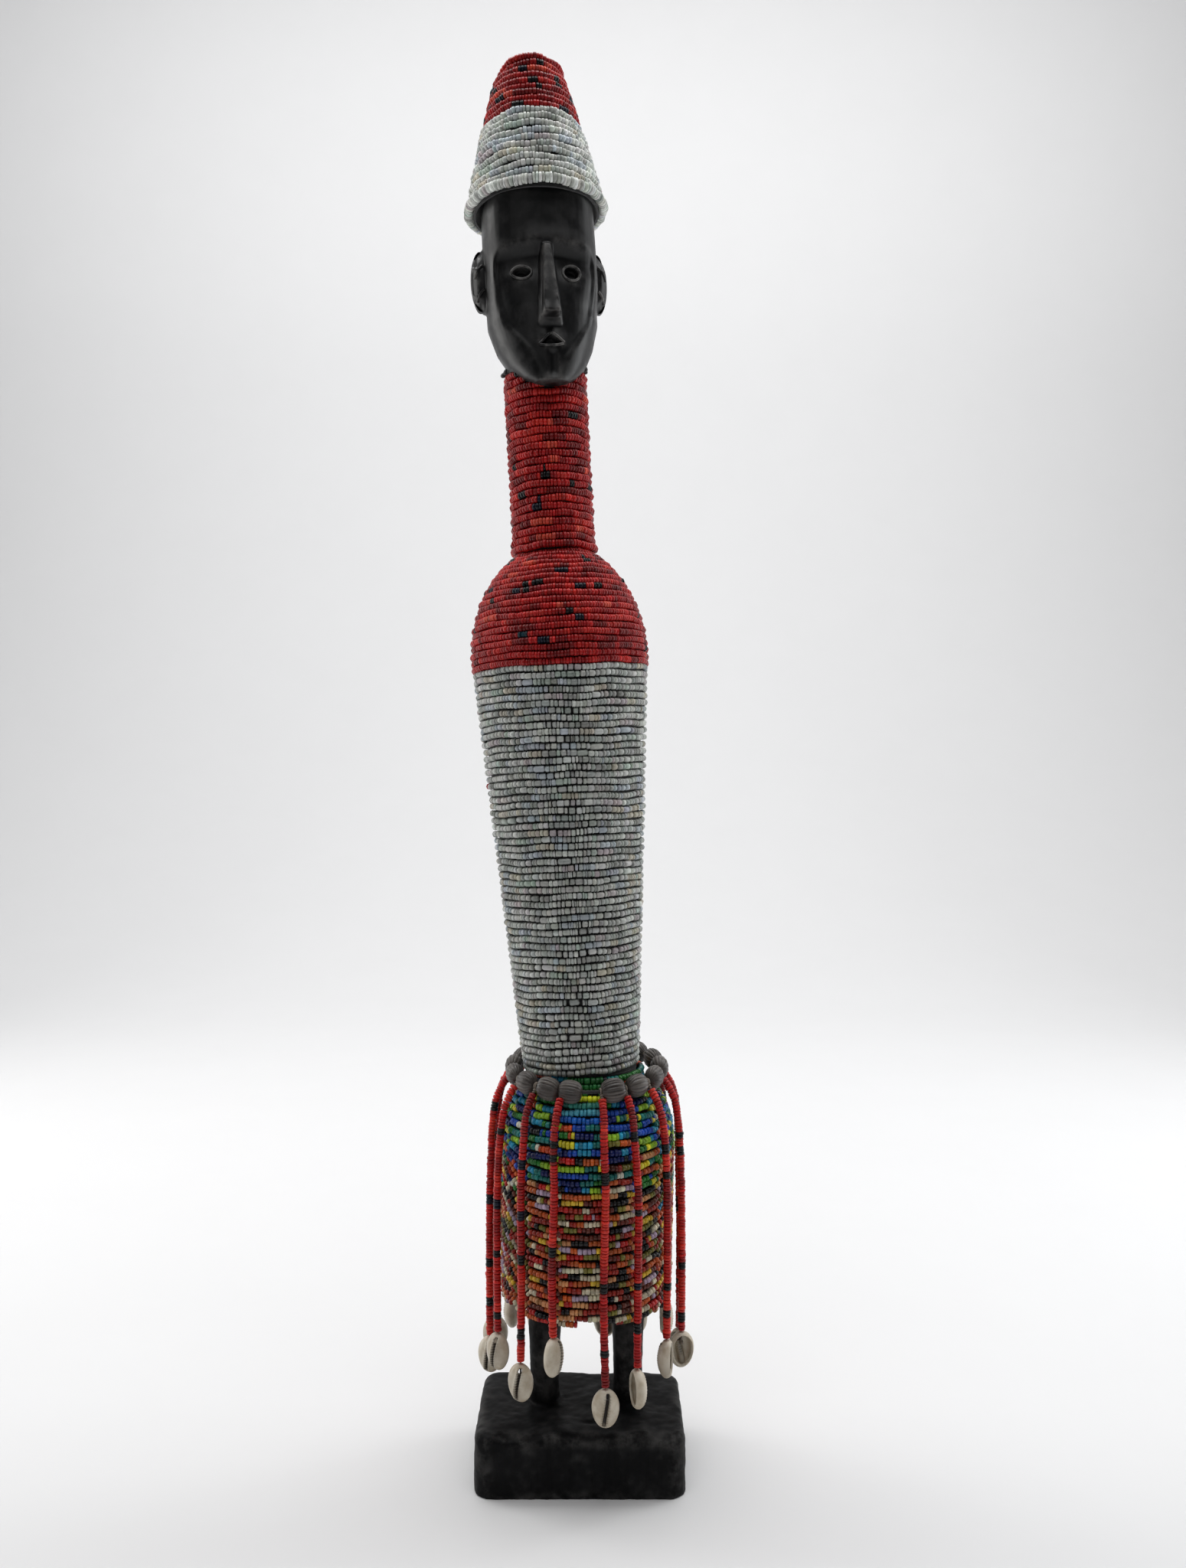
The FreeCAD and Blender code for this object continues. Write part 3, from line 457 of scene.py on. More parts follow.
def glass_beads(name, roughness, dirt, grime=(0.035, 0.030, 0.027), gloss=0.5):
    """Old glass beads, each with its own colour and polish, with dirt rubbed in."""
    made, tree, shader = blank_material(name, Specular_IOR_Level=gloss, Coat_Weight=0.08, Coat_Roughness=0.18)
    colour = add(tree, "ShaderNodeAttribute", attribute_name="bead_colour")
    age = add(tree, "ShaderNodeAttribute", attribute_name="bead_age")
    patches = use(tree, GROUPS["wear"], Scale=240, Low=0.50, High=0.74)
    pits = use(tree, GROUPS["wear"], Scale=1500, Low=0.40, High=0.70)
    dirty = add(tree, "ShaderNodeMath", {0: patches.outputs["Mask"], 1: dirt}, operation="MULTIPLY")
    soiled = mix_colour(tree, dirty.outputs[0], colour.outputs["Color"], grime)
    tree.links.new(soiled, shader.inputs["Base Color"])
    rough = add(tree, "ShaderNodeMath", {0: pits.outputs["Mask"], 1: age.outputs["Fac"]},
                operation="MULTIPLY")
    polish = spread(tree, rough.outputs[0], roughness, roughness + 0.3)
    tree.links.new(polish, shader.inputs["Roughness"])
    add_bump(tree, shader, pits.outputs["Mask"], 0.25, 0.00012)
    return made


def carved_wood(name, colour, worn, roughness, wear_amount, bump, gloss):
    """Stained wood with a satin finish, rubbed lighter along its edges, with a painted highlight where the
    head's carved lines get more than full wear.
    """
    made, tree, shader = blank_material(name, Specular_IOR_Level=gloss)
    # worn_edges carries edge wear, and on the head's carved lines also a painted highlight.
    edge = add(tree, "ShaderNodeAttribute", attribute_name="worn_edges")
    grain = use(tree, GROUPS["grain"])
    patches = use(tree, GROUPS["wear"], Scale=95, Low=0.38, High=0.68)
    wear_and_highlight = add(tree, "ShaderNodeMath", {0: edge.outputs["Fac"], 1: patches.outputs["Mask"]},
                 operation="MULTIPLY")
    amount = add(tree, "ShaderNodeMath", {0: wear_and_highlight.outputs[0], 1: wear_amount},
                 operation="MULTIPLY", use_clamp=True)
    stained = mix_colour(tree, patches.outputs["Mask"], colour, tuple(2.1 * c for c in colour))
    streaked = mix_colour(tree, grain.outputs["Mask"], stained, tuple(0.5 * c for c in colour))
    tree.links.new(mix_colour(tree, amount.outputs[0], streaked, worn), shader.inputs["Base Color"])
    tree.links.new(spread(tree, patches.outputs["Mask"], roughness - 0.05, roughness + 0.13),
                   shader.inputs["Roughness"])
    add_bump(tree, shader, grain.outputs["Height"], bump, 0.0003)
    return made


def fibre(name, colour, light, roughness, scale, bump):
    """Twine, thread or cloth with a soft nap."""
    made, tree, shader = blank_material(name, roughness, Sheen_Weight=0.25, Sheen_Roughness=0.5)
    hair = use(tree, GROUPS["grain"], Scale=scale, Stretch=0.5)
    patches = use(tree, GROUPS["wear"], Scale=180, Low=0.35, High=0.75)
    shade = mix_colour(tree, patches.outputs["Mask"], colour, light)
    tree.links.new(mix_colour(tree, hair.outputs["Mask"], shade, tuple(0.45 * c for c in colour)),
                   shader.inputs["Base Color"])
    add_bump(tree, shader, hair.outputs["Height"], bump, 0.0003)
    return made


def seed_husk(name, colour):
    """Dry ridged seeds, paler along their ridges."""
    made, tree, shader = blank_material(name, 0.42)
    ridge = add(tree, "ShaderNodeAttribute", attribute_name="worn_edges")
    patches = use(tree, GROUPS["wear"], Scale=300, Low=0.42, High=0.66)
    shade = mix_colour(tree, patches.outputs["Mask"], colour, tuple(2.0 * c for c in colour))
    paler_ridges = mix_colour(tree, ridge.outputs["Fac"], shade, (0.125, 0.110, 0.098))
    tree.links.new(paler_ridges, shader.inputs["Base Color"])
    tree.links.new(spread(tree, patches.outputs["Mask"], 0.34, 0.6), shader.inputs["Roughness"])
    add_bump(tree, shader, patches.outputs["Mask"], 0.3, 0.0002)
    return made


def shell(name, colour):
    """Weathered cowrie, with painted shade in its slit, between its teeth and inside its hollow, and with
    faint growth bands.
    """
    made, tree, shader = blank_material(name, 0.45, Coat_Weight=0.1)
    mouth = add(tree, "ShaderNodeAttribute", attribute_name="mouth_shade")
    tint = add(tree, "ShaderNodeAttribute", attribute_name="shell_tint")
    patches = use(tree, GROUPS["wear"], Scale=150, Low=0.36, High=0.70)
    fine = use(tree, GROUPS["wear"], Scale=900, Low=0.40, High=0.72)
    yellowed = tuple(c * part for c, part in zip(colour, (0.74, 0.68, 0.60)))
    shade = mix_colour(tree, patches.outputs["Mask"], colour, yellowed)
    brown = mix_colour(tree, tint.outputs["Fac"], shade, (0.24, 0.185, 0.13))
    # Painted shade: near-black in the slit, between the teeth and inside the hollow shell.
    hollow = mix_colour(tree, mouth.outputs["Fac"], brown, (0.028, 0.020, 0.015))
    tree.links.new(hollow, shader.inputs["Base Color"])
    tree.links.new(spread(tree, fine.outputs["Mask"], 0.38, 0.60), shader.inputs["Roughness"])
    add_bump(tree, shader, fine.outputs["Mask"], 0.2, 0.0001)
    return made


def paper(name, colour):
    made, tree, shader = blank_material(name, 0.85)
    specks = use(tree, GROUPS["wear"], Scale=9, Low=0.2, High=0.9)
    tree.links.new(mix_colour(tree, specks.outputs["Mask"], colour, tuple(0.985 * c for c in colour)),
                   shader.inputs["Base Color"])
    return made


GROUPS = {}
FINISHES = {}


def make_finishes(colours):
    GROUPS.update(wear=speck_group(), grain=grain_group())
    FINISHES.update(
        grey=glass_beads("grey glass beads", 0.34, 0.42),
        red=glass_beads("red glass beads", 0.34, 0.36, (0.035, 0.006, 0.006), gloss=0.25),
        mixed=glass_beads("mixed glass beads", 0.30, 0.42, (0.022, 0.016, 0.013), gloss=0.35),
        brim=glass_beads("pale disc beads", 0.38, 0.40, (0.10, 0.095, 0.085)),
        string=glass_beads("strand beads", 0.34, 0.26, (0.05, 0.008, 0.008), gloss=0.3),
        head=carved_wood("polished black wood", colours.wood[:], colours.worn_wood[:], 0.36, 1.0, 0.08, 0.32),
        block=carved_wood("worn black wood", colours.wood[:], colours.worn_wood[:], 0.52, 0.40, 0.35, 0.08),
        twine=fibre("dark twine", colours.twine[:], (0.035, 0.030, 0.028), 0.75, 900, 0.5),
        lining=fibre("cap lining felt", (0.006, 0.006, 0.007), (0.016, 0.015, 0.015), 0.9, 700, 0.6),
        cloth=fibre("padding cloth", (0.020, 0.011, 0.009), (0.045, 0.028, 0.022), 0.9, 1100, 0.6),
        thread=fibre("strand thread", (0.16, 0.13, 0.10), (0.25, 0.21, 0.17), 0.8, 1800, 0.3),
        seeds=seed_husk("dry seed husk", colours.seeds[:]),
        shell=shell("weathered shell", colours.shell[:]),
        floor=paper("studio paper", colours.floor[:]),
    )


# Beads

def bead_shape(sides, rim):
    """One bead along Z with radius 1 and half length 1, as points and triangles."""
    clear_selection()
    bpy.ops.mesh.primitive_cylinder_add(vertices=sides, radius=1, depth=2)
    obj = bpy.context.object
    mesh = obj.data
    p = points_of(mesh)
    level = [abs(p[a][2] - p[b][2]) < 1e-6 for a, b in (edge.vertices for edge in mesh.edges)]
    edit(obj, edges=level)
    bpy.ops.mesh.bevel(offset=rim, segments=1, affect="EDGES")
    bpy.ops.mesh.select_all(action="SELECT")
    bpy.ops.mesh.normals_make_consistent(inside=False)
    bpy.ops.mesh.quads_convert_to_tris()
    leave_edit()
    points = points_of(mesh)
    tris = np.array([tuple(face.vertices) for face in mesh.polygons])
    bpy.data.objects.remove(obj)
    return points, tris


def bead_piece(name, shape, rows, place):
    """Every bead in the rows as its own copy of the one shape, with its colour and age on it."""
    points, tris = shape
    centre, up, out, along, size, colour = (np.concatenate([row[k] for row in rows]) for k in range(6))
    count, corners = len(centre), len(points)
    co = centre[:, None] + sum(points[None, :, k, None] * (axis * size[:, k:k + 1])[:, None]
                               for k, axis in enumerate((up, out, along)))
    turn = np.array(place.to_3x3())
    co = co.reshape(-1, 3) * MM @ turn.T + np.array(place.translation)
    faces = (tris[None] + (np.arange(count) * corners)[:, None, None]).reshape(-1, 3)
    mesh = bpy.data.meshes.new(name)
    mesh.vertices.add(len(co))
    mesh.vertices.foreach_set("co", co.ravel())
    mesh.loops.add(faces.size)
    mesh.loops.foreach_set("vertex_index", faces.ravel().astype(np.int32))
    mesh.polygons.add(len(faces))
    mesh.polygons.foreach_set("loop_start", np.arange(0, faces.size, 3, dtype=np.int32))
    mesh.polygons.foreach_set("use_smooth", np.ones(len(faces), bool))
    mesh.update(calc_edges=True)
    mesh.validate()
    rgba = np.ones((count, 4))
    rgba[:, :3] = np.clip(colour, 0, 1)
    shades = mesh.color_attributes.new("bead_colour", "FLOAT_COLOR", "POINT")
    shades.data.foreach_set("color", np.repeat(rgba, corners, axis=0).ravel())
    ages = mesh.attributes.new("bead_age", "FLOAT", "POINT")
    ages.data.foreach_set("value", np.repeat((colour.sum(1) * 977) % 1, corners))
    obj = bpy.data.objects.new(name, mesh)
    bpy.context.collection.objects.link(obj)
    return obj


def beads_at(rng, angle, up, out, length, thick, slope=0.0, loose=1.0, gap=0.06):
    """Places for beads at angles, heights and distances from the axis, in millimetres."""
    count = len(angle)
    sin, cos, flat = np.sin(angle), np.cos(angle), np.zeros(count)
    out = out + rng.normal(0, 0.10 * loose, count)
    up = up + rng.normal(0, 0.05 * loose, count)
    tilt = slope + rng.normal(0, 0.035 * loose, count)
    yaw = rng.normal(0, 0.05 * loose, count)
    tangent, outward = np.stack([cos, sin, flat], 1), np.stack([sin, -cos, flat], 1)
    upward = np.tile((0.0, 0.0, 1.0), (count, 1))
    along = tangent + upward * tilt[:, None] + outward * yaw[:, None]
    along /= np.linalg.norm(along, axis=1)[:, None]
    rise = upward - along * (upward * along).sum(1)[:, None]
    rise /= np.linalg.norm(rise, axis=1)[:, None]
    face = np.cross(along, rise)
    centre = np.stack([out * sin, -out * cos, up], 1)
    size = np.stack([thick / 2 * rng.normal(1, 0.030 * loose, count),
                     thick / 2 * rng.normal(1, 0.05 * loose, count),
                     length / 2 * (1 - gap * rng.random(count))], 1)
    return centre, rise, face, along, size


def ring(rng, radius, mean, uneven):
    """Angles and lengths of beads that fill a ring."""
    count = max(5, round(TAU * radius / mean))
    length = np.exp(rng.normal(0, uneven, count))
    length *= TAU * radius / length.sum()
    return (np.cumsum(length) - length / 2) / radius + rng.uniform(0, TAU), length


def ripple(rng, angle, *waves):
    """Rise and fall of one row alone, from waves of (height, number round the ring)."""
    return sum(high * np.sin(number * angle + rng.uniform(0, TAU)) for high, number in waves)


def front_angle(points):
    """Angle of each point round the axis, from the front towards the right."""
    return np.arctan2(points[:, 0], -points[:, 1])


def wrapped(angle):
    """The same angle between half a turn back and half a turn on."""
    return (angle + math.pi) % TAU - math.pi


def wander(angle, up, amount):
    """Slow rise and fall that neighbouring rows share."""
    return amount * (0.8 * np.sin(2 * angle + 0.021 * up) + 0.6 * np.sin(3 * angle + 1.3 + 0.047 * up)
                     + 0.45 * np.sin(7 * angle + 0.4 + 0.083 * up) + 0.3 * np.sin(11 * angle - 0.12 * up))


def pick(rng, count, colours, shares, shortest, longest, vary):
    """Colours for a row, each for a run of beads, and each bead a little lighter or darker."""
    picks = []
    shares = np.array(shares) / sum(shares)
    while len(picks) < count:
        picks += [rng.choice(len(colours), p=shares)] * int(rng.integers(shortest, longest + 1))
    base = np.array(colours)[picks[:count]]
    varied = base * rng.normal(1, vary, (count, 1)) + rng.normal(0, 0.006, (count, 3))
    return linear(np.clip(varied, 0.01, 0.95))


def darken_patches(rng, rows, patches, wide, tall):
    """Recolours a few short stretches of a wrap dark: dark beads, and under the chin a painted shadow. Rows
    are lists that end in their colours.
    """
    for up, turn in patches:
        tone = linear(DARKS[rng.choice(3, p=(0.62, 0.28, 0.10))])
        for row in rows:
            centre, colour = row[0], row[5]
            near = np.abs(centre[:, 2] - up) < tall * rng.uniform(0.35, 1.0)
            far = np.hypot(centre[:, 0], centre[:, 1])
            gone = wrapped(front_angle(centre) - turn)
            hit = near & (np.abs(gone * far) < wide / 2 * rng.uniform(0.7, 1.2))
            colour[hit] = tone * rng.uniform(0.6, 1.4, (hit.sum(), 1))


def recolour_stray(row, leftwards, tone):
    """Recolours the bead of a row that is nearest to an angle from the front towards the left."""
    nearest = np.argmin(np.abs(wrapped(front_angle(row[0]) + leftwards)))
    row[5][nearest] = linear(tone)
    return nearest


# Carving

def mark_edges(obj, reach, strength):
    """Writes how far each point stands proud of its neighbours as the attribute worn_edges."""
    mesh = obj.data
    p = points_of(mesh)
    pairs = np.empty(2 * len(mesh.edges), int)
    mesh.edges.foreach_get("vertices", pairs)
    a, b = pairs.reshape(-1, 2).T
    normal = np.empty(3 * len(p))
    mesh.vertices.foreach_get("normal", normal)
    normal = normal.reshape(-1, 3)
    degree = np.bincount(np.concatenate([a, b]), minlength=len(p))[:, None].clip(1)

    def average(values):
        total = np.zeros_like(values)
        np.add.at(total, a, values[b])
        np.add.at(total, b, values[a])
        return total / degree

    soft = p
    for _ in range(3 * reach):
        soft = average(soft)
    proud = ((p - soft) * normal).sum(1)[:, None]
    proud = np.clip(proud / (np.abs(proud).std() * 2.2 + 1e-9) * strength, 0, 1)
    for _ in range(reach):
        proud = average(proud)
    write_values(mesh, "worn_edges", proud.ravel())


def carve_face(obj):
    """Cuts the brow, sunken face, eyes, mouth and chin groove into the remeshed head, in its own frame."""
    p = points_of(obj.data) / MM
    x, y, z = p.T
    front = step(0, -9, y)
    flat = step(28, 44, z) * step(0, 6, -y)
    bulk = np.hypot(x / 29, y / 30).clip(1e-6)
    squarer = (np.abs(x / 29 / bulk) ** 2.7 + np.abs(y / 30 / bulk) ** 2.7) ** (-1 / 2.7)
    grow = 1 + (squarer - 1) * flat * step(0.6, 0.9, bulk) * (1 - step(98, 112, z))
    skull_x, skull_z, y = x * grow, z, y * grow
    x, z = FACE_SCALE * skull_x, FACE_SCALE * skull_z + FACE_LIFT
    on_nose = (1 - step(0.3, 1.0, np.abs(x) - np.interp(z, (29, 71), (5.4, 2.3)))) * step(27, 29.5, z)
    on_nose *= 1 - step(70, 73, z)
    wide = np.interp(z, (-4, 3, 12, 22, 32, 45, 57, 71), (1.5, 4.0, 8.5, 15.5, 22.0, 25.0, 26.2, 25.6))
    deep = np.interp(z, (-6, 2, 12, 25, 40, 57, 68, 73), (0.0, 0.8, 1.4, 1.9, 2.5, 3.7, 5.4, 5.8))
    deep = deep * (1 - 0.3 * np.clip(np.abs(x) / wide, 0, 1) ** 2)
    brow = 71.8 - 2.2 * (np.abs(x) / 25) ** 2
    soft = np.interp(z, (0, 30, 70), (6.0, 5.0, 3.0))
    inside = 1 - step(-0.5 * soft, 0.5 * soft, np.abs(x) - wide)
    under = 1 - step(-7.0, 2.0, z - brow)
    cut = deep * inside * under
    for side, wide, tall, _ in EYES:
        cut += 1.5 * np.exp(-((x - side * EYE_OUT) / 7.5) ** 2 - ((z - 59) / 5.5) ** 2) * under
        hole = np.hypot((x - side * EYE_OUT) / (wide - 0.3), (z - EYE_UP) / (tall - 0.3))
        cut += 3.4 * (1 - step(0.70, 0.98, hole))
    cut -= 0.4 * np.exp(-((z - brow - 3.0) / 4.5) ** 2) * inside
    cut -= 1.5 * np.exp(-((x / 8.0) ** 2) - ((z - 20) / 6.0) ** 2)
    roof = 22.6 - 4.6 * np.abs(x + 0.2) / 6.3
    mouth = step(17.0, 17.9, z) * (1 - step(-0.9, 0.1, z - roof)) * (1 - step(4.9, 6.0, np.abs(x)))
    cut += 4.2 * mouth
    groove = (1 - step(0.4, 3.2, np.abs(x - 0.6))) * step(-2, 4, z) * (1 - step(12.0, 15.5, z))
    cut += 1.3 * groove
    y = y + cut * front * (1 - on_nose)
    wings = 1 - step(1.5, 4.5, np.abs(np.abs(x) - 4.6))
    flare = wings * step(28.5, 30.5, z) * (1 - step(33, 38, z)) * front
    y = y - 0.5 * flare * on_nose
    move_points(obj.data, np.stack([skull_x, y, skull_z], 1) * MM)


def carve_ears(p):
    """Hollows both ears and leaves two bent ridges in each, in millimetres."""
    x, y, z = p.T
    side = np.abs(x) - 29.3
    ear = step(0.0, 1.8, side) * step(31, 33, z) * (1 - step(67, 70, z))
    curve = 3.0 * step(0, 6, side)
    ridge = np.exp(-((z - 52.5 - curve) / 1.3) ** 2) + np.exp(-((z - 39.5 - 0.6 * curve) / 1.2) ** 2)
    rim = step(5.0, 6.4, side + 2.2 * ((z - 49) / 17) ** 2)
    hollow = ear * (1 - np.clip(ridge + rim, 0, 1)) * step(-8.0, -2.0, -np.abs(y - 1.5))
    y = y + np.where(y < 2.4, 2.3, -2.3) * hollow
    return np.stack([x, y, z], 1)


def on_face(obj, x, z, proud):
    """Point on the carved face at a place in the face's own millimetres, in metres."""
    x, z = x / FACE_SCALE, (z - FACE_LIFT) / FACE_SCALE
    hit, point, _, _ = obj.ray_cast(Vector((x * MM, -0.08, z * MM)), Vector((0, 1, 0)))
    if not hit:
        raise RuntimeError("a line drawn on the head misses it")
    return point + Vector((0, -proud * MM, 0))


def make_head(sizes):
    skull = loft([(0, -forward * MM, up * MM, wide * MM, deep * MM)
                  for up, wide, deep, forward in HEAD_SECTIONS], 64)
    clear_selection()
    nose_out, nose_up = -0.0285, 0.0378
    bpy.ops.mesh.primitive_cube_add(size=1, location=(0, nose_out, nose_up), scale=(0.0102, 0.0165, 0.0395))
    nose = bpy.context.object
    settle(nose)
    p = points_of(nose.data)
    top, out = p[:, 2] > nose_up, p[:, 1] < nose_out
    p[top, 0] *= 0.42
    p[out, 0] *= 0.82
    p[top & out, 1] = -0.0312
    p[~top & out, 1] = -0.0368
    p[~top & out, 2] += 0.0024
    move_points(nose.data, p)
    edit(nose)
    bpy.ops.mesh.bevel(offset=0.0007, segments=2, affect="EDGES")
    leave_edit()
    pieces = [skull, nose]
    ear_out, ear_wide, ear_bottom = 0.0275, 0.0082, 0.0345
    for side in (-1, 1):
        clear_selection()
        bpy.ops.mesh.primitive_uv_sphere_add(segments=32, ring_count=24, radius=1,
                                             location=(side * ear_out, 0.0024, 0.0500),
                                             scale=(ear_wide, 0.0085, 0.0172))
        ear = settle(bpy.context.object)
        q = points_of(ear.data)
        q[:, 2] = np.where(q[:, 2] < ear_bottom, ear_bottom + (q[:, 2] - ear_bottom) * 0.12, q[:, 2])
        reach = np.abs(q[:, 0]) - ear_out
        blunter = np.sign(reach) * np.abs(reach / ear_wide) ** 0.72 * ear_wide
        q[:, 0] = np.sign(q[:, 0]) * (ear_out + blunter)
        move_points(ear.data, q)
        pieces.append(ear)
    head = join(pieces, "head")
    apply_modifier(head, "REMESH", mode="VOXEL", voxel_size=sizes.carving_detail, use_smooth_shade=True)
    apply_modifier(head, "SMOOTH", factor=0.6, iterations=3)
    carve_face(head)
    move_points(head.data, carve_ears(points_of(head.data) / MM) * MM)
    apply_modifier(head, "SMOOTH", factor=0.5, iterations=2)
    lines = []
    for side, wide, tall, corner in EYES:
        eye = []
        for k in range(20):
            turn = TAU * k / 20
            pull = corner * max(0, math.cos(turn - (math.pi if side < 0 else 0))) ** 6
            eye.append(on_face(head, side * EYE_OUT + wide * math.cos(turn) + side * pull,
                               EYE_UP + tall * math.sin(turn) - 0.5 * pull, 0.35))
        depth = sorted(point.y for point in eye)[8]
        rim = [Vector((q.x, min(q.y, depth + 0.0006), q.z)) for q in eye]
        lines.append(round_line(rim, 0.0013, closed=True))
    upper = [(-6.6, 17.5), (-4.4, 19.6), (-2.0, 21.9), (-0.5, 23.2), (1.0, 22.9), (3.4, 21.0),
             (5.4, 19.4), (6.7, 18.4)]
    lower = [(-6.2, 17.0), (-4.0, 16.6), (0, 16.4), (3.6, 16.8), (6.2, 17.8)]
    for side in (-1, 1):
        for bend in ([(29.8, 56.3), (31.4, 55.0), (32.9, 52.8), (33.9, 50.2)],
                     [(29.6, 43.6), (30.9, 42.6), (32.0, 40.9), (32.8, 39.0)]):
            ear_line = [on_face(head, side * x * FACE_SCALE, z * FACE_SCALE + FACE_LIFT, 0.1)
                        for x, z in bend]
            lines.append(round_line(ear_line, 0.0015))
    for line, thick in ((upper, 0.0014), (lower, 0.0015)):
        path = [on_face(head, x, z, 0.3) for x, z in line]
        front = min(q.y for q in path)
        lip = [Vector((q.x, min(q.y, front + 0.0012), q.z)) for q in path]
        lines.append(round_line(lip, thick))
    mark_edges(head, 3, 0.45)
    # The carved lines get more than full wear: partly rubbed wear, partly a painted highlight along the eye
    # rims, lips and ear ridges.
    for line in lines:
        write_values(line.data, "worn_edges", np.full(len(line.data.vertices), 1.6))
    head = join([head] + lines, "carved_head")
    p = points_of(head.data)
    p[:, 2] = CROWN - (CROWN - p[:, 2]) * HEAD_SQUEEZE
    move_points(head.data, p)
    head.matrix_world = HEAD
    fix_place(head)
    smooth(head, 60)
    return finish_piece(head, "carved_head", "figure", FINISHES["head"], "black_wood", "carved_figure")


def make_block():
    """The base with its two legs, worn at the corners and marked by the adze."""
    clear_selection()
    bpy.ops.mesh.primitive_cube_add(size=1, location=(0, 0, 0.015), scale=(0.104, 0.067, 0.030))
    block = settle(bpy.context.object)
    p = points_of(block.data)
    upright = [abs(p[a][2] - p[b][2]) > 0.01 for a, b in (e.vertices for e in block.data.edges)]
    edit(block, edges=upright)
    bpy.ops.mesh.bevel(offset=0.008, segments=6, affect="EDGES")
    leave_edit()
    p = points_of(block.data)
    rim = [p[a][2] > 0.029 and p[b][2] > 0.029 for a, b in (e.vertices for e in block.data.edges)]
    edit(block, edges=rim)
    bpy.ops.mesh.bevel(offset=0.0035, segments=4, affect="EDGES")
    leave_edit()
    pieces = [block]
    leg = [(0.024, 0.0085, 0.0085), (0.031, 0.0078, 0.0080), (0.045, 0.0076, 0.0077),
           (0.070, 0.0084, 0.0085), (0.088, 0.0093, 0.0094), (0.104, 0.0093, 0.0094)]
    for side in (-1, 1):
        x = 0.003 + side * 0.0215
        pieces.append(loft([(x, 0.005, up, wide, deep) for up, wide, deep in leg], 20))
    made = join(pieces, "block")
    apply_modifier(made, "REMESH", mode="VOXEL", voxel_size=0.00085,
                   use_smooth_shade=True)
    apply_modifier(made, "SMOOTH", factor=0.6, iterations=3)
    for name, size, strength in (("adze marks", 0.011, 0.00075), ("chips", 0.0035, 0.00040)):
        clouds = bpy.data.textures.new(name, "CLOUDS")
        clouds.noise_scale = size
        clouds.noise_depth = 2
        apply_modifier(made, "DISPLACE", texture=clouds, strength=strength, mid_level=0.5,
                       texture_coords="LOCAL")
    p = points_of(made.data)
    x, y, z = p.T / MM
    on_top = (z > 24) & (z < 36)
    near_top = np.exp(-((z - 30) / 3.0) ** 2)
    clear_of_legs = step(12, 30, np.hypot(x - 3, y + 2))
    z = z - 0.55 * near_top * np.sin(x / 5.5 + 0.7 * np.sin(y / 9)) * clear_of_legs
    notches = 0.5 + 0.5 * np.sin(x / 7.0 + 1.0) * np.sin(x / 3.1)
    dent = 1.1 * np.exp(-((y + 31.5) / 2.2) ** 2) * notches * on_top
    knot = 0.7 * np.exp(-(((x - 6) / 5.0) ** 2 + ((y + 19) / 1.6) ** 2)) * on_top
    z = z - dent - knot
    z = np.maximum(z, 0.0)
    move_points(made.data, np.stack([x, y, z], 1) * MM)
    mark_edges(made, 3, 1.3)
    smooth(made, 60)
    return finish_piece(made, "carved_block", "figure", FINISHES["block"], "black_wood", "carved_figure")


def make_backing():
    """Waxed twine wound over the wood, which shows dark between the rows."""
    bust = [(-2.0, 26.9), (0, 27.1), (100, 34.6), (209, 42.8), (216, 42.5), (232, 39.3), (246, 33.0),
            (255, 26.0), (261, 20.2), (266, 18.3), (356.0, 18.1)]
    core = turned(bust, 64, BUST)
    hips = turned([(176, 22.0), (188, 24.5), (203, 26.0)], 48, HIPS)
    made = join([core, hips], "twine_backing")
    smooth(made, 50)
    return finish_piece(made, "twine_backing", "figure", FINISHES["twine"], "dark_cord", "carved_figure")


# Bead wraps

def torso_rows(rng, sizes):
    """Grey rows from the waist to the chest, with a few dark joints that line up from row to row."""
    tall = 203.9
    count = round(tall / (sizes.row_pitch / MM))
    pitch = tall / count
    rows = []
    ties = np.radians(np.arange(24) * 15 + rng.uniform(-5, 5, 24))
    for k in range(count):
        up = 0.5 + pitch * (k + 0.5)
        radius = 26.6 + 15.7 * up / 210 + BEAD_REST
        angle, length = ring(rng, radius, sizes.bead_length / MM * rng.uniform(0.85, 1.1), 0.42)
        own = ripple(rng, angle, (0.16, 4), (0.10, 9))
        height = up + wander(angle, up, sizes.waviness / MM) + own
        shape = beads_at(rng, angle, height, radius + rng.normal(0, 0.12), length, pitch * 0.87, gap=0.20)
        colour = pick(rng, len(angle), GREYS, GREY_SHARES, 1, 4, 0.055)
        for tie in ties:
            near = np.abs(wrapped(angle - tie)) * radius < length / 2 + 0.25
            if rng.random() < 0.55:
                shape[4][near, 2] *= 0.80
                colour[near] *= 0.86
        rows.append(list(shape) + [colour])
    stray = rows[round(0.706 * count)]
    stray[0][recolour_stray(stray, 1.45, REDS[0]), 0] -= 0.5
    recolour_stray(rows[len(rows) - 12], math.radians(86), STRAY_RED)
    return rows


def red_rows(rng, path, sizes):
    """Thin red discs on rows at (height, radius, thickness), in millimetres."""
    rows = []
    for up, radius, thick in path:
        angle, length = ring(rng, radius, sizes.disc_length / MM, 0.20)
        own = ripple(rng, angle, (0.20, 4), (0.12, 9))
        height = up + wander(angle, up, 0.6 * sizes.waviness / MM) + own
        shape = beads_at(rng, angle, height, radius + 0.25 * np.sin(3 * angle + up), length, thick)
        rows.append(list(shape) + [pick(rng, len(angle), REDS, RED_SHARES, 2, 7, 0.07)])
    return rows


def scatter(rng, count, low, high, front_first=()):
    """Heights and angles of dark patches."""
    return list(front_first) + [(rng.uniform(low, high), rng.uniform(0, TAU)) for _ in range(count)]


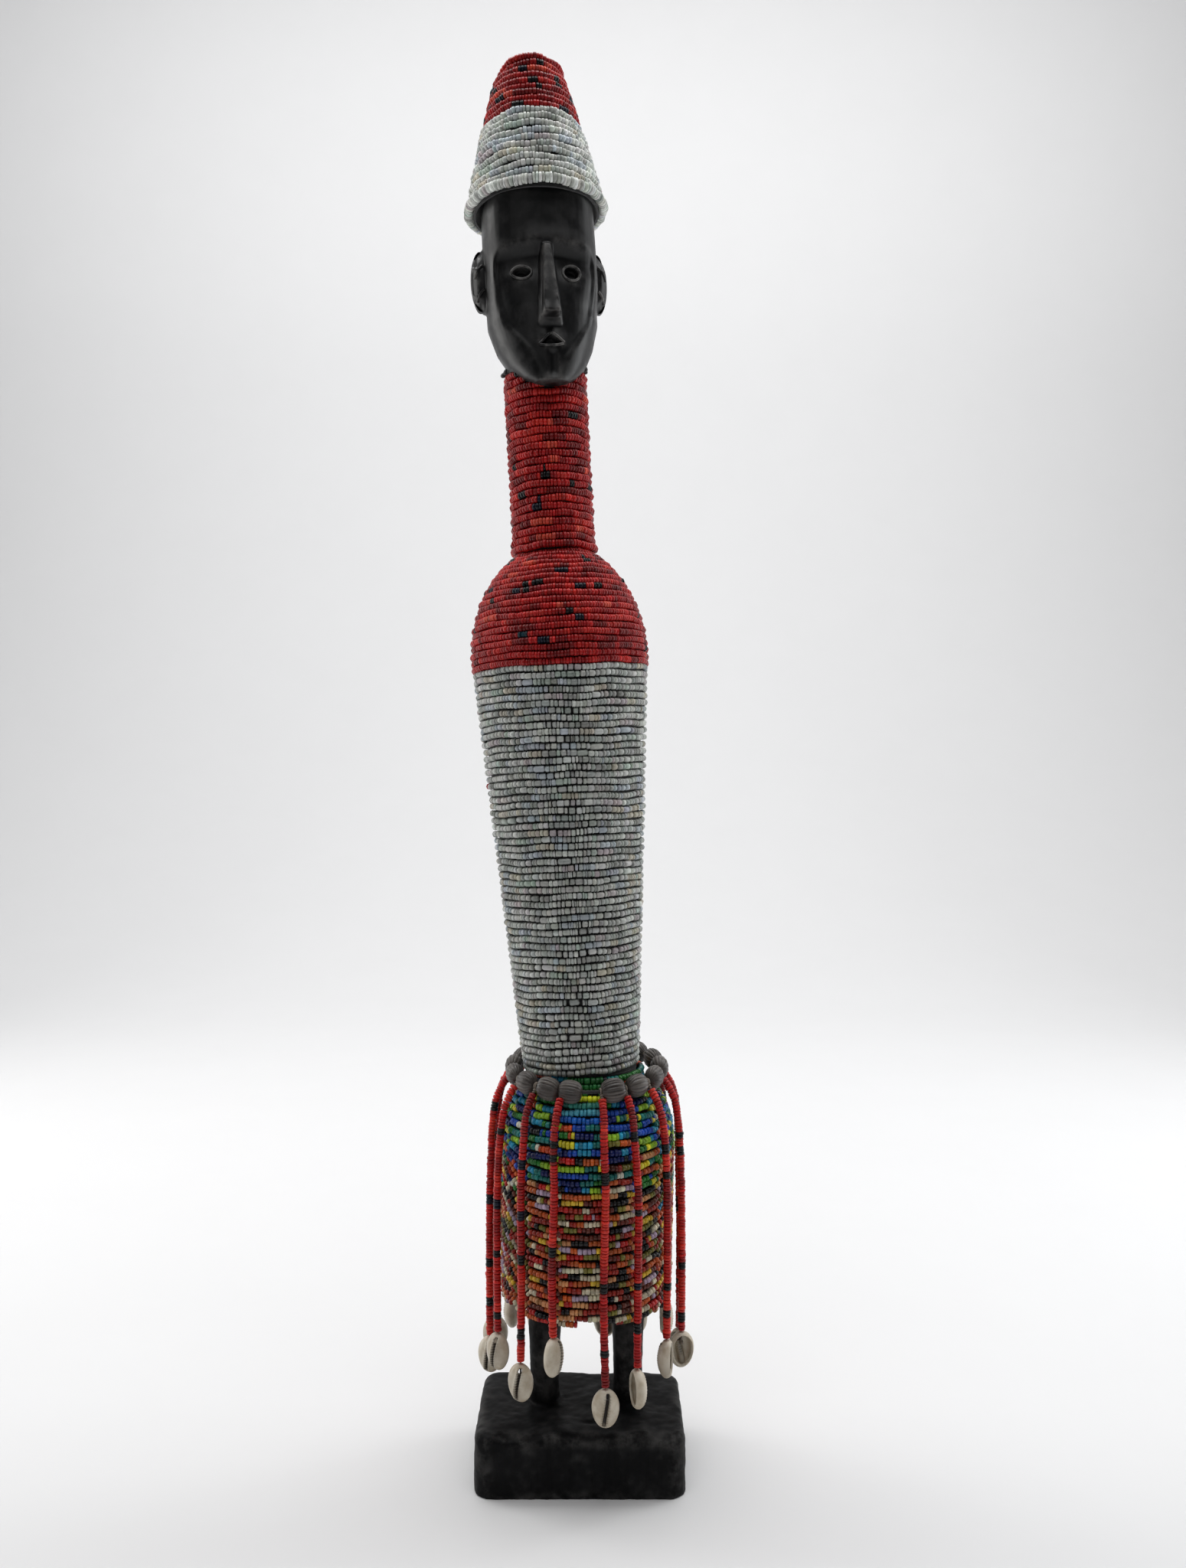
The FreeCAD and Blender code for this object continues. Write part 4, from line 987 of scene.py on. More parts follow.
def shoulder_path():
    """Rows over the shoulder at an even pitch along its curve."""
    bend = np.linspace(0, math.radians(65.5), 200)
    curve = [(204.0, 42.3 + BEAD_REST - 0.45)]
    curve += [(210 + 58.8 * math.sin(t), 44.35 * math.cos(t)) for t in bend]
    heights, radii = np.array(curve).T
    run = np.concatenate([[0], np.cumsum(np.hypot(np.diff(heights), np.diff(radii)))])
    count = 20
    spots = (np.arange(count) + 0.5) * run[-1] / count
    return [(np.interp(s, run, heights), np.interp(s, run, radii), run[-1] / count) for s in spots]


def skirt_profile():
    """The bead rows' middle line up the skirt: run, distance out and height, in millimetres."""
    line = [(40.4 + BEAD_REST + 1.7 * k / 20, 87.0 + 76.5 * k / 20) for k in range(21)]
    line += [(27 + (15.1 + BEAD_REST) * math.cos(t), 163.5 + (30 + BEAD_REST) * math.sin(t))
             for t in np.linspace(0.02, math.radians(82), 60)]
    out, up = np.array(line).T
    run = np.concatenate([[0], np.cumsum(np.hypot(np.diff(out), np.diff(up)))])
    return run, out, up


def panel_slope(middle):
    """How steeply a panel's rows climb towards the right, from its middle angle in degrees."""
    turn = (middle + 180) % 360 - 180
    return float(np.interp(turn, (-180, -120, -75, -52, -33, -20, 20, 38, 62, 90, 140, 180),
                           (0.25, -0.35, -0.75, -0.85, -0.10, 0.0, 0.0, 0.10, 0.55, 0.50, 0.1, 0.25)))


def skirt_rows(rng):
    """Short rows in the panels between the strands, each panel with its own slope."""
    run, out, up = skirt_profile()
    edges = sorted(s[0] for s in STRANDS)
    rows = []
    for here, after in zip(edges, edges[1:] + [edges[0] + 360]):
        low, high = math.radians(here), math.radians(after)
        slope = panel_slope((here + after) / 2)
        half = (high - low) / 2 * 42
        place = -abs(slope) * half - rng.uniform(0, 3)
        while place < run[-1] + abs(slope) * half + 2:
            share = place / run[-1]
            pitch = 3.35 if share < 0.62 else 3.75
            pitch *= rng.uniform(0.95, 1.05)
            angle = low + rng.uniform(0, 0.01)
            angles, lengths, heights = [], [], []
            lean = slope * (1 - float(step(0.55, 0.80, share)))
            while angle < high:
                s = place + lean * (angle - (low + high) / 2) * 42
                radius = float(np.interp(s, run, out))
                length = rng.uniform(1.5, 2.6)
                angles.append(angle + length / 2 / radius)
                lengths.append(length)
                heights.append(s)
                angle += length / radius
            angles, lengths, heights = np.array(angles), np.array(lengths), np.array(heights)
            heights = heights + 0.35 * np.sin(angles * 9 + place) + rng.normal(0, 0.08, len(heights))
            ragged = 1.6 * np.sin(5 * angles + 1) + 1.2 * np.sin(11 * angles)
            keep = (heights > ragged - 1.0) & (heights < run[-1] - 0.5)
            if keep.any():
                a, s, length = angles[keep], heights[keep], lengths[keep]
                height = np.interp(s, run, up)
                radius = np.interp(s, run, out)
                steep = (np.interp(s + 1, run, up) - np.interp(s - 1, run, up)) / 2
                shape = beads_at(rng, a, height, radius, length, pitch * 0.88,
                                 slope=lean * np.clip(steep, 0, 1), gap=0.14, loose=1.3)
                mixed = float(np.clip((share - 0.52) / 0.18 + rng.normal(0, 0.25), 0, 1))
                top = rng.random() < mixed
                colour = pick(rng, len(a), SKIRT_TOP if top else SKIRT_LOW,
                              SKIRT_TOP_SHARES if top else SKIRT_LOW_SHARES, 1, 4, 0.08)
                below = int((run[-1] - place) / pitch)
                if here == STRANDS[0][0] and below < len(GAP_ROWS):
                    colour = pick(rng, len(a), [GAP_ROWS[max(below, 0)]], [1], 1, 1, 0.10)
                rows.append(list(shape) + [colour])
            place += pitch * math.sqrt(1 + lean * lean)
    return rows


def cap_radius(up):
    """Outside of the cap's lining at a height over the rim, in millimetres."""
    rim, taper, bulge, wall = 31.4, 19.9, 2.0, 1.2
    share = np.clip(up / 71.5, 0, 1)
    return rim - taper * share + bulge * 4 * share * (1 - share) + wall


# Operators

class DOLL_OT_stage(bpy.types.Operator):
    """Sets up the finishes, the paper floor, the soft lights and the camera"""
    bl_idname = "doll.stage"
    bl_label = "Stage"

    def execute(self, context):
        make_finishes(context.scene.doll_colours)
        clear_selection()
        bpy.ops.object.camera_add(location=CAMERA_PLACE, rotation=(math.radians(90), 0, 0))
        camera = context.object
        camera.data.lens = CAMERA_LENS
        camera.data.sensor_width = CAMERA_SENSOR
        camera.data.clip_start = 0.01
        context.scene.camera = camera
        context.scene.view_settings.view_transform = "Standard"
        clear_selection()
        bpy.ops.mesh.primitive_plane_add(size=1, location=(0, 0.4, 0))
        context.object.scale = PAPER_SIZE
        floor = settle(context.object)
        p = points_of(floor.data)
        back = [p[a][1] > 2 and p[b][1] > 2 for a, b in (e.vertices for e in floor.data.edges)]
        edit(floor, edges=back)
        bpy.ops.mesh.extrude_region_move(TRANSFORM_OT_translate={"value": (0, 0, PAPER_RISE)})
        leave_edit()
        p = points_of(floor.data)
        crease = [all(p[v][1] > 2 and p[v][2] < 0.1 for v in e.vertices) for e in floor.data.edges]
        edit(floor, edges=crease)
        bpy.ops.mesh.bevel(offset=PAPER_CURVE, segments=32, affect="EDGES")
        leave_edit()
        floor.name = "studio_paper"
        floor.data.materials.append(FINISHES["floor"])
        smooth(floor, 60)
        for name, at, aim, wide, tall, power, tone in LAMPS:
            clear_selection()
            bpy.ops.object.light_add(type="AREA", location=at)
            lamp = context.object
            lamp.name = name
            lamp.data.shape = "RECTANGLE"
            lamp.data.size, lamp.data.size_y = wide, tall
            lamp.data.energy = power
            lamp.data.color = tone
            lamp.rotation_euler = (Vector(aim) - Vector(at)).to_track_quat("-Z", "Y").to_euler()
        world = bpy.data.worlds.new("pale studio")
        world.use_nodes = True
        tree = world.node_tree
        tree.nodes["Background"].inputs["Color"].default_value = WORLD_COLOUR
        seen = add(tree, "ShaderNodeLightPath")
        strength = add(tree, "ShaderNodeMath",
                       {0: seen.outputs["Is Camera Ray"], 1: WORLD_SEEN, 2: WORLD_LIGHT},
                       operation="MULTIPLY_ADD")
        tree.links.new(strength.outputs[0], tree.nodes["Background"].inputs["Strength"])
        context.scene.world = world
        return {"FINISHED"}


def strand_route(angle, shell_top, hang):
    """The strand's points from the belt cord down to its knot, in metres."""
    belt = BELT_MIDDLE - BELT_SAG * math.cos(math.radians(angle))
    clear, end = 49.5, shell_top + 1.4
    half_way = (belt - 48.0 + end) / 2
    points = [(BELT_RADIUS, belt, 0.0), (clear - 4.0, belt - 9.0, 0.05), (clear - 1.0, belt - 24.0, 0.2),
              (clear, belt - 48.0, 0.6), (clear + 0.7, half_way, 1.0), (clear + 0.2, end, 0.3),
              (clear + 0.2, end - 4.0, 0.3), (clear + 0.2, end - 7.4, 0.3)]
    turn = math.radians(angle)
    sway = [0.9 * math.sin(angle * 1.7 + 2.3 * k) if 1 < k < 5 else 0.0 for k in range(len(points))]
    return [HIPS @ Vector(((out * math.sin(turn) + (hang * share + side) * math.cos(turn)) * MM,
                           (-out * math.cos(turn) + (hang * share + side) * math.sin(turn)) * MM, up * MM))
            for (out, up, share), side in zip(points, sway)]


def line_points(curve):
    """Points along a curve's own smooth line, and the run up to each."""
    mesh = bpy.data.meshes.new_from_object(curve)
    points = points_of(mesh).copy()
    bpy.data.meshes.remove(mesh)
    run = np.concatenate([[0], np.cumsum(np.linalg.norm(np.diff(points, axis=0), axis=1))])
    return points, run


def strand_colours(rng, spots, length, row):
    """Red beads with short black stretches, and near the shell as each strand has it."""
    colour = pick(rng, len(spots), STRAND_REDS, STRAND_SHARES, 2, 8, 0.06)
    shares = [0.19 + rng.normal(0, 0.06), 0.44 + rng.normal(0, 0.09), 0.68 + rng.normal(0, 0.07)]
    shares += {0: [], 1: [0.885], 2: [0.86], 15: [0.90]}.get(row, [0.90 + rng.normal(0, 0.03)])
    for share in shares:
        half = rng.uniform(1.6, 2.7) * MM
        hit = np.abs(spots - share * length) < half
        colour[hit] = linear(DARKS[int(rng.random() < 0.25)]) * rng.uniform(0.7, 1.5, (hit.sum(), 1))
    return colour


def slit_at(z, start, bend):
    """How far to the right the cowrie's slit lies at each height, in millimetres."""
    return start + bend * np.sin((z + COWRIE_HALF) / COWRIE_HALF * 1.7)


def cowrie_model():
    """One cowrie with its back cut off, hanging from the origin with its mouth towards -Y."""
    clear_selection()
    bpy.ops.mesh.primitive_uv_sphere_add(segments=56, ring_count=44, radius=1)
    obj = bpy.context.object
    p = points_of(obj.data)
    ring_out = np.hypot(p[:, 0], p[:, 1])
    around = np.arctan2(p[:, 0], -p[:, 1])
    around = around - 0.72 * np.sin(around)
    up = p[:, 2]
    fuller = 1 + 0.07 * up * (1 - up ** 2)
    x = 6.6 * ring_out * np.sin(around) * fuller
    y = -ring_out * np.cos(around)
    y = np.where(y < 0, 4.41 * y * (1 - 0.10 * np.exp(-(x / 3.0) ** 2)), 4.41 * y)
    p = np.stack([x, y, COWRIE_HALF * up - COWRIE_HALF], 1) * MM
    move_points(obj.data, p)
    edit(obj)
    bpy.ops.mesh.bisect(plane_co=(0, 0.0024, 0), plane_no=(0, 1, 0), clear_outer=True)
    leave_edit()
    x, y, z = points_of(obj.data).T / MM
    away = x - slit_at(z, 0.25, 1.0)
    length = step(-18.0, -16.6, z) * (1 - step(-2.6, -1.3, z))
    face = step(0.6, 2.4, -y)
    lips = 0.50 * np.exp(-((np.abs(away) - 1.5) / 0.8) ** 2)
    teeth = 0.26 * np.cos(TAU * z / 1.25) * step(0.35, 0.8, np.abs(away)) * (1 - step(1.3, 2.2, np.abs(away)))
    groove = 1.9 * (1 - step(0.25, 0.95, np.abs(away)))
    y = y + (groove - lips - teeth) * length * face
    move_points(obj.data, np.stack([x, y, z], 1) * MM)
    middle = np.array([tuple(face.center) for face in obj.data.polygons]) / MM
    over_slit = np.abs(middle[:, 0] - slit_at(middle[:, 2], 0.35, 0.55)) < 0.55
    open_top = over_slit & (middle[:, 1] < 0) & (middle[:, 2] > -4.6) & (middle[:, 2] < -1.5)
    edit(obj, faces=open_top)
    bpy.ops.mesh.delete(type="FACE")
    bpy.ops.mesh.select_all(action="SELECT")
    bpy.ops.mesh.remove_doubles(threshold=0.00001)
    bpy.ops.mesh.normals_make_consistent(inside=False)
    leave_edit()
    apply_modifier(obj, "SOLIDIFY", thickness=0.0012, offset=-1)
    x, y, z = points_of(obj.data).T / MM
    away = np.abs(x - slit_at(z, 0.25, 1.0))
    # Painted shade: darkens the slit, stripes between the teeth and the inside of the hollow shell.
    window = step(-18.0, -16.6, z) * (1 - step(-2.4, -1.2, z)) * step(0.2, 1.6, -y)
    dark = (1 - step(0.35, 1.15, away)) * window
    tooth_shade = 0.45 * (0.5 + 0.5 * np.cos(TAU * z / 1.25)) * (1 - step(1.0, 2.3, away)) * window
    inside = 0.55 * step(0.5, 1.6, (1 - np.hypot(x / 6.0, (z + COWRIE_HALF) / 8.9)) * 6) * step(-2.2, 0.8, y)
    write_values(obj.data, "mouth_shade", np.clip(dark + tooth_shade + inside, 0, 1))
    smooth(obj, 50)
    return obj


class DOLL_OT_fringe(bpy.types.Operator):
    """Hangs the strands: thread, beads, ties and cowries"""
    bl_idname = "doll.fringe"
    bl_label = "Fringe"

    def execute(self, context):
        sizes = context.scene.doll_sizes
        rng = np.random.default_rng(sizes.seed + 1)
        shape = bead_shape(10, 0.30)
        cowrie = cowrie_model()
        for row, (angle, shell_top, hang, turn) in enumerate(STRANDS):
            label = f"strand_{row + 1:02d}"
            route = strand_route(angle, shell_top, hang)
            line = bpy.data.curves.new(label + "_thread", "CURVE")
            line.dimensions = "3D"
            line.resolution_u = 16
            spline = line.splines.new("NURBS")
            spline.points.add(len(route) - 1)
            for point, place in zip(spline.points, route):
                point.co = (*place, 1)
            spline.order_u = 3
            spline.use_endpoint_u = True
            thread = bpy.data.objects.new(label + "_thread", line)
            context.collection.objects.link(thread)
            points, run = line_points(thread)
            line.bevel_depth = THREAD_RADIUS
            line.bevel_resolution = 2
            line.use_fill_caps = True
            end = run[-1] - 0.0068
            spots, at = [], 0.0042
            while at < end:
                spots.append(at)
                at += sizes.disc_length * rng.uniform(0.85, 1.2)
            edges = np.array(spots + [end])
            spots, length = (edges[1:] + edges[:-1]) / 2, np.diff(edges)
            here = np.stack([np.interp(spots, run, points[:, k]) for k in range(3)], 1)
            ahead = np.stack([np.interp(spots + 0.0006, run, points[:, k]) for k in range(3)], 1)
            along = (ahead - here) / np.linalg.norm(ahead - here, axis=1)[:, None]
            along += rng.normal(0, 0.05, along.shape)
            along /= np.linalg.norm(along, axis=1)[:, None]
            side = np.cross(along, (math.sin(math.radians(angle)), -math.cos(math.radians(angle)), 0.1))
            side /= np.linalg.norm(side, axis=1)[:, None]
            other = np.cross(along, side)
            thick = sizes.strand_thickness / 2 / MM * rng.normal(1, 0.035, len(spots))
            size = np.stack([thick, thick * rng.normal(1, 0.02, len(spots)), length / 2 / MM * 0.96], 1)
            colour = strand_colours(rng, spots, end, row)
            if row == 1:
                big = np.abs(spots - 0.885 * end) < 0.0019
                size[big, :2] *= 1.12
            centre = here / MM + rng.normal(0, 0.07, here.shape)
            row_of_beads = (centre, side, other, along, size, colour)
            beads = bead_piece(label + "_beads", shape, [row_of_beads], Matrix())
            slot = "strand_beads"
            body = label
            finish_piece(beads, label + "_beads", body, FINISHES["string"], slot, label)
            ties = self.ties(route, angle, Vector(points[-1]))
            finish_piece(ties, label + "_ties", body, FINISHES["thread"], slot)
            thread.data.materials.append(FINISHES["thread"])
            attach(thread, body)
            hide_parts(label)
            shell_piece = cowrie.copy()
            shell_piece.data = cowrie.data.copy()
            context.collection.objects.link(shell_piece)
            hook = route[5] - Vector((0, 0, 0.0014))
            q = points_of(shell_piece.data) / MM
            brown = (0.55 if row in (3, 14, 15) else 0.18) * rng.uniform(0.6, 1.2)
            patch = brown * (0.6 + 0.4 * np.sin(q[:, 0] * 0.6 + rng.uniform(0, 6)) * np.cos(q[:, 2] * 0.4))
            write_values(shell_piece.data, "shell_tint", np.clip(patch, 0, 1))
            q *= (1 + rng.normal(0, 0.015, 3))
            move_points(shell_piece.data, q * MM)
            facing = Matrix.Rotation(math.radians(angle + turn), 4, "Z")
            shell_piece.matrix_world = Matrix.Translation(hook) @ facing
            fix_place(shell_piece)
            body = f"cowrie_{row + 1:02d}"
            finish_piece(shell_piece, body + "_shell", body, FINISHES["shell"], "cowrie_shell", body)
        bpy.data.objects.remove(cowrie)
        return {"FINISHED"}

    def ties(self, route, angle, end):
        """Loop round the belt cord, its wraps, and the knot that holds the shell."""
        turn = math.radians(angle)
        tangent = Vector((math.cos(turn), math.sin(turn), 0))
        round_belt = tangent.to_track_quat("Z", "Y").to_euler()
        first = (route[1] - route[0]).normalized()
        round_thread = first.to_track_quat("Z", "Y").to_euler()
        rings = [(0.0016, 0.0004, 20, 6, route[0] + tangent * shift, round_belt)
                 for shift in (-THREAD_RADIUS, THREAD_RADIUS)]
        rings += [(radius * 0.6, radius * 0.5, 14, 6, route[0] + first * down, round_thread)
                  for down, radius in ((0.0022, 0.00095), (0.0034, 0.0008))]
        rings += [(0.0007, 0.00055, 14, 7, end, (tilt, 0.4 * tilt, turn)) for tilt in (0.5, -0.7)]
        piece = join([settle(torus(*values)) for values in rings], "ties")
        smooth(piece, 60)
        return piece


class DOLL_OT_carving(bpy.types.Operator):
    """Carves the head, the legs and the base, and winds the twine backing"""
    bl_idname = "doll.carving"
    bl_label = "Carved figure"

    def execute(self, context):
        sizes = context.scene.doll_sizes
        make_head(sizes)
        make_block()
        make_backing()
        return {"FINISHED"}


class DOLL_OT_torso(bpy.types.Operator):
    """Lays the grey rows round the body"""
    bl_idname = "doll.torso"
    bl_label = "Torso beads"

    def execute(self, context):
        sizes = context.scene.doll_sizes
        rng = np.random.default_rng(sizes.seed + 3)
        shape = bead_shape(8, 0.24)
        rows = torso_rows(rng, sizes)
        third = len(rows) // 3
        parts = [rows[:third], rows[third:2 * third], rows[2 * third:]]
        for name, part in zip(("low", "middle", "high"), parts):
            piece = bead_piece("torso_beads_" + name, shape, part, BUST)
            finish_piece(piece, "torso_beads_" + name, "figure", FINISHES["grey"], "grey_beads",
                         "torso_bead_wrap")
        return {"FINISHED"}


class DOLL_OT_shoulders(bpy.types.Operator):
    """Lays the red rows over the shoulders and up the neck, and ties the cord under the jaw"""
    bl_idname = "doll.shoulders"
    bl_label = "Shoulder and neck beads"

    def execute(self, context):
        sizes = context.scene.doll_sizes
        rng = np.random.default_rng(sizes.seed + 4)
        shape = bead_shape(8, 0.26)
        rows = red_rows(rng, shoulder_path(), sizes)
        darken_patches(rng, rows, scatter(rng, 44, 206, 262), 4.6, 1.9)
        piece = bead_piece("shoulder_beads", shape, rows, BUST)
        finish_piece(piece, "shoulder_beads", "figure", FINISHES["red"], "red_beads", "shoulder_bead_wrap")
        count = 24
        pitch = 92.0 / count
        path = []
        for k in range(count):
            up = 264.6 + pitch * (k + 0.5)
            path.append((up, 17.6 + 0.3 + 1.85 + 2.2 * math.exp(-(up - 264) / 3.2), pitch))
        rows = red_rows(rng, path, sizes)
        darken_patches(rng, rows, scatter(rng, 30, 268, 345), 4.4, 2.1)
        # Painted shadow under the chin: dark patches across the front of the topmost neck rows.
        dark = [(355.0, turn) for turn in np.radians((-40, -25, -10, 5, 18, 30, 44))]
        darken_patches(rng, rows, dark, 4.5, 2.5)
        piece = bead_piece("neck_beads", shape, rows, BUST)
        finish_piece(piece, "neck_beads", "figure", FINISHES["red"], "red_beads", "neck_bead_wrap")
        low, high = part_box("neck_cord")
        radius = 0.01975
        cord = torus(radius, 0.0011, 160, 12)
        twist(cord, radius, 0.0024, 26, 0.42)
        knots = [cord]
        for turn in (-82, 74, 200):
            for shift, size in ((0.0, 0.0021), (3.6, 0.0016)):
                angle = math.radians(turn + shift * 3)
                out = radius + 0.0012
                place = (out * math.sin(angle), -out * math.cos(angle), 0.0002)
                askew = (0.6 + shift, 0.4, angle)
                knots.append(settle(torus(size * 0.62, size * 0.52, 20, 10, place, askew)))
        cord = join(knots, "neck_binding")
        raised = (low.z + high.z) / 2 + 0.0034
        settle(cord, Matrix.Translation(((low.x + high.x) / 2, (low.y + high.y) / 2, raised)) @ LEAN)
        smooth(cord, 60)
        finish_piece(cord, "neck_binding", "figure", FINISHES["twine"], "dark_cord", "neck_cord")
        return {"FINISHED"}


class DOLL_OT_skirt(bpy.types.Operator):
    """Pads the hips and lays the many-coloured rows over them"""
    bl_idname = "doll.skirt"
    bl_label = "Skirt"

    def execute(self, context):
        sizes = context.scene.doll_sizes
        rng = np.random.default_rng(sizes.seed + 5)
        profile = [(89.5, 30.0), (87.6, 36.0), (87.2, 39.0), (89.0, 40.2), (100, 40.5), (130, 41.1),
                   (163.5, 41.8), (172, 41.1), (180, 39.0), (187, 35.8), (191.5, 31.5), (193.0, 27.5)]
        pad = turned(profile, 72, HIPS)
        edit(pad)
        bpy.ops.mesh.subdivide(number_cuts=1)
        leave_edit()
        p = points_of(pad.data)
        turn = np.arctan2(p[:, 1] - 0.005, p[:, 0] - 0.003)
        fold = 0.00025 * np.sin(23 * turn) * np.clip((0.1 - p[:, 2]) / 0.01, 0, 1)
        p[:, 2] += fold
        move_points(pad.data, p)
        smooth(pad, 50)
        finish_piece(pad, "hip_padding_cloth", "figure", FINISHES["cloth"], "padding_cloth", "hip_padding")
        shape = bead_shape(8, 0.24)
        rows = skirt_rows(rng)
        halfway = 136
        low = [row for row in rows if row[0][:, 2].mean() < halfway]
        high = [row for row in rows if row[0][:, 2].mean() >= halfway]
        for up, radius in ((198.3, 28.6), (201.4, 28.4)):
            angle, length = ring(rng, radius, 2.0, 0.25)
            made = beads_at(rng, angle, np.full(len(angle), up), radius, length, 3.2, gap=0.14)
            tones = pick(rng, len(angle), SKIRT_TOP, SKIRT_TOP_SHARES, 2, 6, 0.08)
            front = np.abs(np.sin(angle / 2)) < 0.16
            tones[front] = linear(GAP_ROWS[0]) * rng.uniform(0.7, 1.3, (front.sum(), 1))
            high.append(list(made) + [tones])
        for name, part in (("lower", low), ("upper", high)):
            piece = bead_piece("skirt_beads_" + name, shape, part, HIPS)
            finish_piece(piece, "skirt_beads_" + name, "figure", FINISHES["mixed"], "mixed_beads",
                         "skirt_bead_wrap")
        return {"FINISHED"}


class DOLL_OT_belt(bpy.types.Operator):
    """Threads the seeds on the belt cord"""
    bl_idname = "doll.belt"
    bl_label = "Belt"

    def execute(self, context):
        rng = np.random.default_rng(context.scene.doll_sizes.seed + 6)
        radius = BELT_RADIUS * MM
        cord = torus(radius, 0.0008, 240, 10)
        twist(cord, radius, 0.0017, 60, 0.4)
        settle(cord, BELT)
        smooth(cord, 60)
        finish_piece(cord, "belt_twine", "figure", FINISHES["twine"], "dark_cord", "belt_cord")
        angles = [row[0] for row in STRANDS]
        seeds = []
        for here, after in zip(angles, angles[1:] + [angles[0] + 360]):
            middle = here + (after - here) * (0.22 if after - here > 26 else 0.5)
            clear_selection()
            bpy.ops.mesh.primitive_uv_sphere_add(segments=112, ring_count=18, radius=1)
            seed = bpy.context.object
            p = points_of(seed.data)
            around = np.arctan2(p[:, 1], p[:, 0])
            lobes = int(rng.integers(13, 19))
            swell = 1 + 0.085 * np.abs(np.cos(lobes * around / 2 + rng.uniform(0, 6))) ** 0.7
            swell += 0.03 * np.sin(2 * around + rng.uniform(0, 6))
            blunt = np.sign(p[:, 2]) * np.abs(p[:, 2]) ** 0.86
            tall, long = rng.uniform(0.93, 1.03), rng.uniform(0.95, 1.04)
            fuller = np.hypot(p[:, 0], p[:, 1]).clip(0.001) ** -0.25
            q = np.stack([blunt * 6.2 * long, p[:, 0] * fuller * swell * 4.5 * tall,
                          p[:, 1] * fuller * swell * 5.4 * tall], 1)
            move_points(seed.data, q * MM)
            proud = step(1.045, 1.09, swell)
            write_values(seed.data, "worn_edges", np.clip(proud * (1 - 0.5 * np.abs(p[:, 2])), 0, 1))
            turn = math.radians(middle)
            on_cord = Matrix.Translation((radius * math.sin(turn), -radius * math.cos(turn), 0))
            tilt = Matrix.Rotation(rng.uniform(-0.10, 0.10), 4, "Y")
            seed.matrix_world = BELT @ on_cord @ Matrix.Rotation(turn, 4, "Z") @ tilt
            seeds.append(settle(seed))
        piece = join(seeds, "belt_seed_string")
        smooth(piece, 60)
        finish_piece(piece, "belt_seed_string", "figure", FINISHES["seeds"], "dark_seeds", "belt_seeds")
        return {"FINISHED"}


